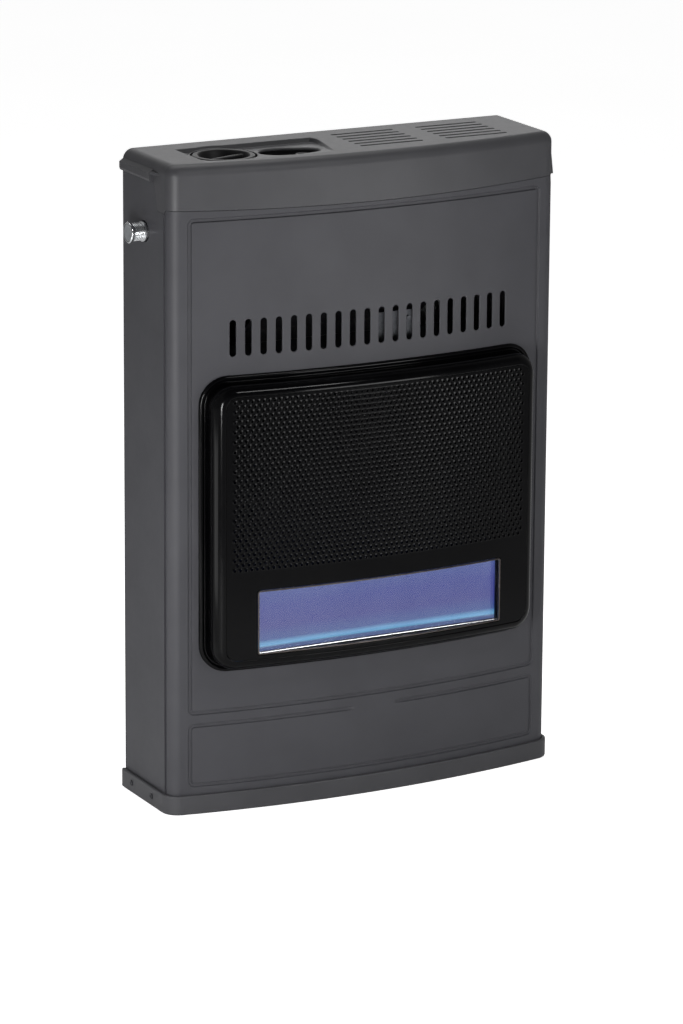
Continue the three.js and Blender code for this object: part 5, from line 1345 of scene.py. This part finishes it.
fit(front_panel, "casing", "casing_paint", "front_panel")
fit(top_cap, "casing", "moulding", "top_cap")
fit(base_tray, "casing", "moulding", "base_tray")
fit(bezel, "casing", "firefront_enamel", "bezel_frame")
fit(face_plate, "casing", "firefront_enamel", "grille_panel")
fit(perforations, "casing", "firefront_enamel", "grille_panel")
fit(trim, "casing", "bright_trim", "window_trim")
fit(sill, "casing", "bright_trim", "window_sill")
fit(knob, "knob", "control", "gas_knob")
fit(button, "button", "control", "piezo_button")
fit(inlet, "casing", "bright_trim", "gas_inlet_fitting")
fit(wells, "casing", "control", "top_cap")
fit(tray_screws, "casing", "bright_trim", "left_tray_screw_1", "left_tray_screw_2",
    "right_tray_screw_1", "right_tray_screw_2")
fit(flame, "casing", "window_glass")
for node, joint, travel in (("spindle_spring", "knob_push", 0.004), ("button_spring", "button_push", 0.005)):
    coil = bpy.data.objects.new(node + "_coil", frame["nodes"][node].data.copy())
    bpy.context.scene.collection.objects.link(coil)
    coil.data.materials.clear()
    coil.data.materials.append(zinc)
    foot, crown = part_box(node)
    fit(coil, "casing", "zinc_steel", node)
    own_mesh(coil)
slots_of = {part["node"]: part["material_slot"] for part in frame["record"]["subparts"]}
for node, piece in softened_pieces.items():
    fit(piece, "casing", slots_of[node], node)
kept = {"window_glass": pane_glass, "pilot_burner": brass, "spark_electrode": porcelain, "thermocouple": zinc,
        "valve_spindle": brass, "spring_seat": zinc,
        "inlet_pipe": alloy, "feed_pipe": alloy}
for node, material in kept.items():
    carried = frame["nodes"][node].data
    carried.materials.clear()
    carried.materials.append(material)
print("kept nodes:", sorted(kept))

# %% [markdown]
# ## Camera, light and floor
# The camera stands high to the left and looks down a little. The photograph's
# verticals are parallel, so it was straightened; a long lens comes close to that
# with a small shift.

# %% Camera
EYE = (-2173.76, -4206.17, 1547.35)
YAW, PITCH_DOWN, LEAN = 0.48246, 0.24375, 0.00668
FOCAL_PX, SHIFT_DOWN = 4804.01, 0.1
ahead = Vector((math.sin(YAW) * math.cos(PITCH_DOWN), math.cos(YAW) * math.cos(PITCH_DOWN),
                -math.sin(PITCH_DOWN)))
level_right = Vector((math.cos(YAW), -math.sin(YAW), 0))
level_up = level_right.cross(ahead)
right = level_right * math.cos(LEAN) + level_up * math.sin(LEAN)
upward = level_up * math.cos(LEAN) - level_right * math.sin(LEAN)
camera = bpy.data.objects.new("camera", bpy.data.cameras.new("camera"))
bpy.context.scene.collection.objects.link(camera)
turn = Matrix((right, upward, -ahead)).transposed().to_4x4()
camera.matrix_world = Matrix.Translation(Vector(metres(EYE))) @ turn
camera.data.sensor_width = 36.0
camera.data.lens = FOCAL_PX / 1024 * 36.0
camera.data.shift_y = -SHIFT_DOWN
camera.data.clip_end = 100
bpy.context.scene.camera = camera
print("lens", round(camera.data.lens, 2), "mm, shift", camera.data.shift_y)


# %% Studio light
def softbox(name, where, target, size, power):
    """A rectangular lamp that faces a target, all in metres."""
    lamp = bpy.data.objects.new(name, bpy.data.lights.new(name, "AREA"))
    bpy.context.scene.collection.objects.link(lamp)
    lamp.data.shape, lamp.data.size, lamp.data.size_y, lamp.data.energy = "RECTANGLE", *size, power
    lamp.visible_camera = False
    lamp.matrix_world = (Matrix.Translation(Vector(where))
                         @ (Vector(target) - Vector(where)).to_track_quat("-Z", "Y").to_matrix().to_4x4())
    return lamp


softbox("overhead", (0.1, 0.6, 1.7), (0, -0.05, 0), (1.4, 1.0), 16.5)
softbox("rear strip", (0.65, 1.3, 0.42), (0, -0.06, 0.067), (1.4, 0.4), 4)
softbox("corner strip", (-0.85, -0.92, -0.21), (-0.2, -0.1, -0.1), (0.14, 0.42), 9)
softbox("upper panel", (0.33, -0.9, -0.18), (0, -0.12, -0.03), (0.35, 0.25), 2.4)
softbox("front line", (0.3, -1.15, 0.85), (0, -0.15, -0.15), (0.5, 0.12), 4)
softbox("left foot", (-0.75, -0.1, -0.44), (-0.215, -0.05, -0.54), (0.4, 0.2), 0.7)
world = bpy.data.worlds.new("studio")
bpy.context.scene.world = world
world.use_nodes = True
tree = world.node_tree
path = add(tree, "ShaderNodeLightPath")


mirrored = add(tree, "ShaderNodeMath", {"operation": "MULTIPLY", 1: 0.05}, {0: path.outputs["Is Glossy Ray"]})
through = add(tree, "ShaderNodeMath", {"operation": "MAXIMUM"},
              {0: path.outputs["Is Transmission Ray"], 1: mirrored.outputs[0]})
seen = add(tree, "ShaderNodeMath", {"operation": "MAXIMUM"},
           {0: path.outputs["Is Camera Ray"], 1: through.outputs[0]})
strength = add(tree, "ShaderNodeMapRange", {"To Min": 0.2, "To Max": 1.0}, {"Value": seen.outputs[0]})
aim = add(tree, "ShaderNodeVectorMath", {"operation": "DOT_PRODUCT", 1: (0, -0.6, 0.8)},
          {0: add(tree, "ShaderNodeTexCoord").outputs["Object"]})
ceiling = add(tree, "ShaderNodeMapRange", {"From Min": 0.6, "From Max": 0.85, "To Min": 1.0, "To Max": 0.15},
              {"Value": aim.outputs["Value"]})
dimmed = add(tree, "ShaderNodeMath", {"operation": "MULTIPLY"},
             {0: strength.outputs["Result"], 1: ceiling.outputs["Result"]})
tree.links.new(dimmed.outputs[0], tree.nodes["Background"].inputs["Strength"])
tree.nodes["Background"].inputs["Color"].default_value = (1, 1, 1, 1)
bpy.context.scene.view_settings.view_transform = "Standard"

# %% Floor
floor_paint, tree, shader = finish("studio floor, white", "#f4f4f4", 0.6)
shades(tree, shader, grain(tree, 400).outputs["Fac"], "#f2f2f2", "#f6f6f6")
shader.inputs["Emission Color"].default_value = (1, 1, 1, 1)
path = add(tree, "ShaderNodeLightPath")
gloss = add(tree, "ShaderNodeMath", {"operation": "MULTIPLY", 1: 0.15}, {0: path.outputs["Is Glossy Ray"]})
direct = add(tree, "ShaderNodeMath", {"operation": "MAXIMUM"},
             {0: path.outputs["Is Camera Ray"], 1: path.outputs["Is Transmission Ray"]})
both = add(tree, "ShaderNodeMath", {"operation": "MAXIMUM"}, {0: gloss.outputs[0], 1: direct.outputs[0]})
lift = add(tree, "ShaderNodeMath", {"operation": "MULTIPLY", 1: 0.84}, {0: both.outputs[0]})
tree.links.new(lift.outputs[0], shader.inputs["Emission Strength"])
floor_mesh = bpy.data.meshes.new("floor")
floor_z = -HANG_HEIGHT / 1000 - 0.0005
floor_corners = [(-6, -6, floor_z), (6, -6, floor_z), (6, 9, floor_z), (-6, 9, floor_z)]
floor_mesh.from_pydata(floor_corners, [], [(0, 1, 2, 3)])
floor_mesh.materials.append(floor_paint)
floor = bpy.data.objects.new("floor", floor_mesh)
bpy.context.scene.collection.objects.link(floor)
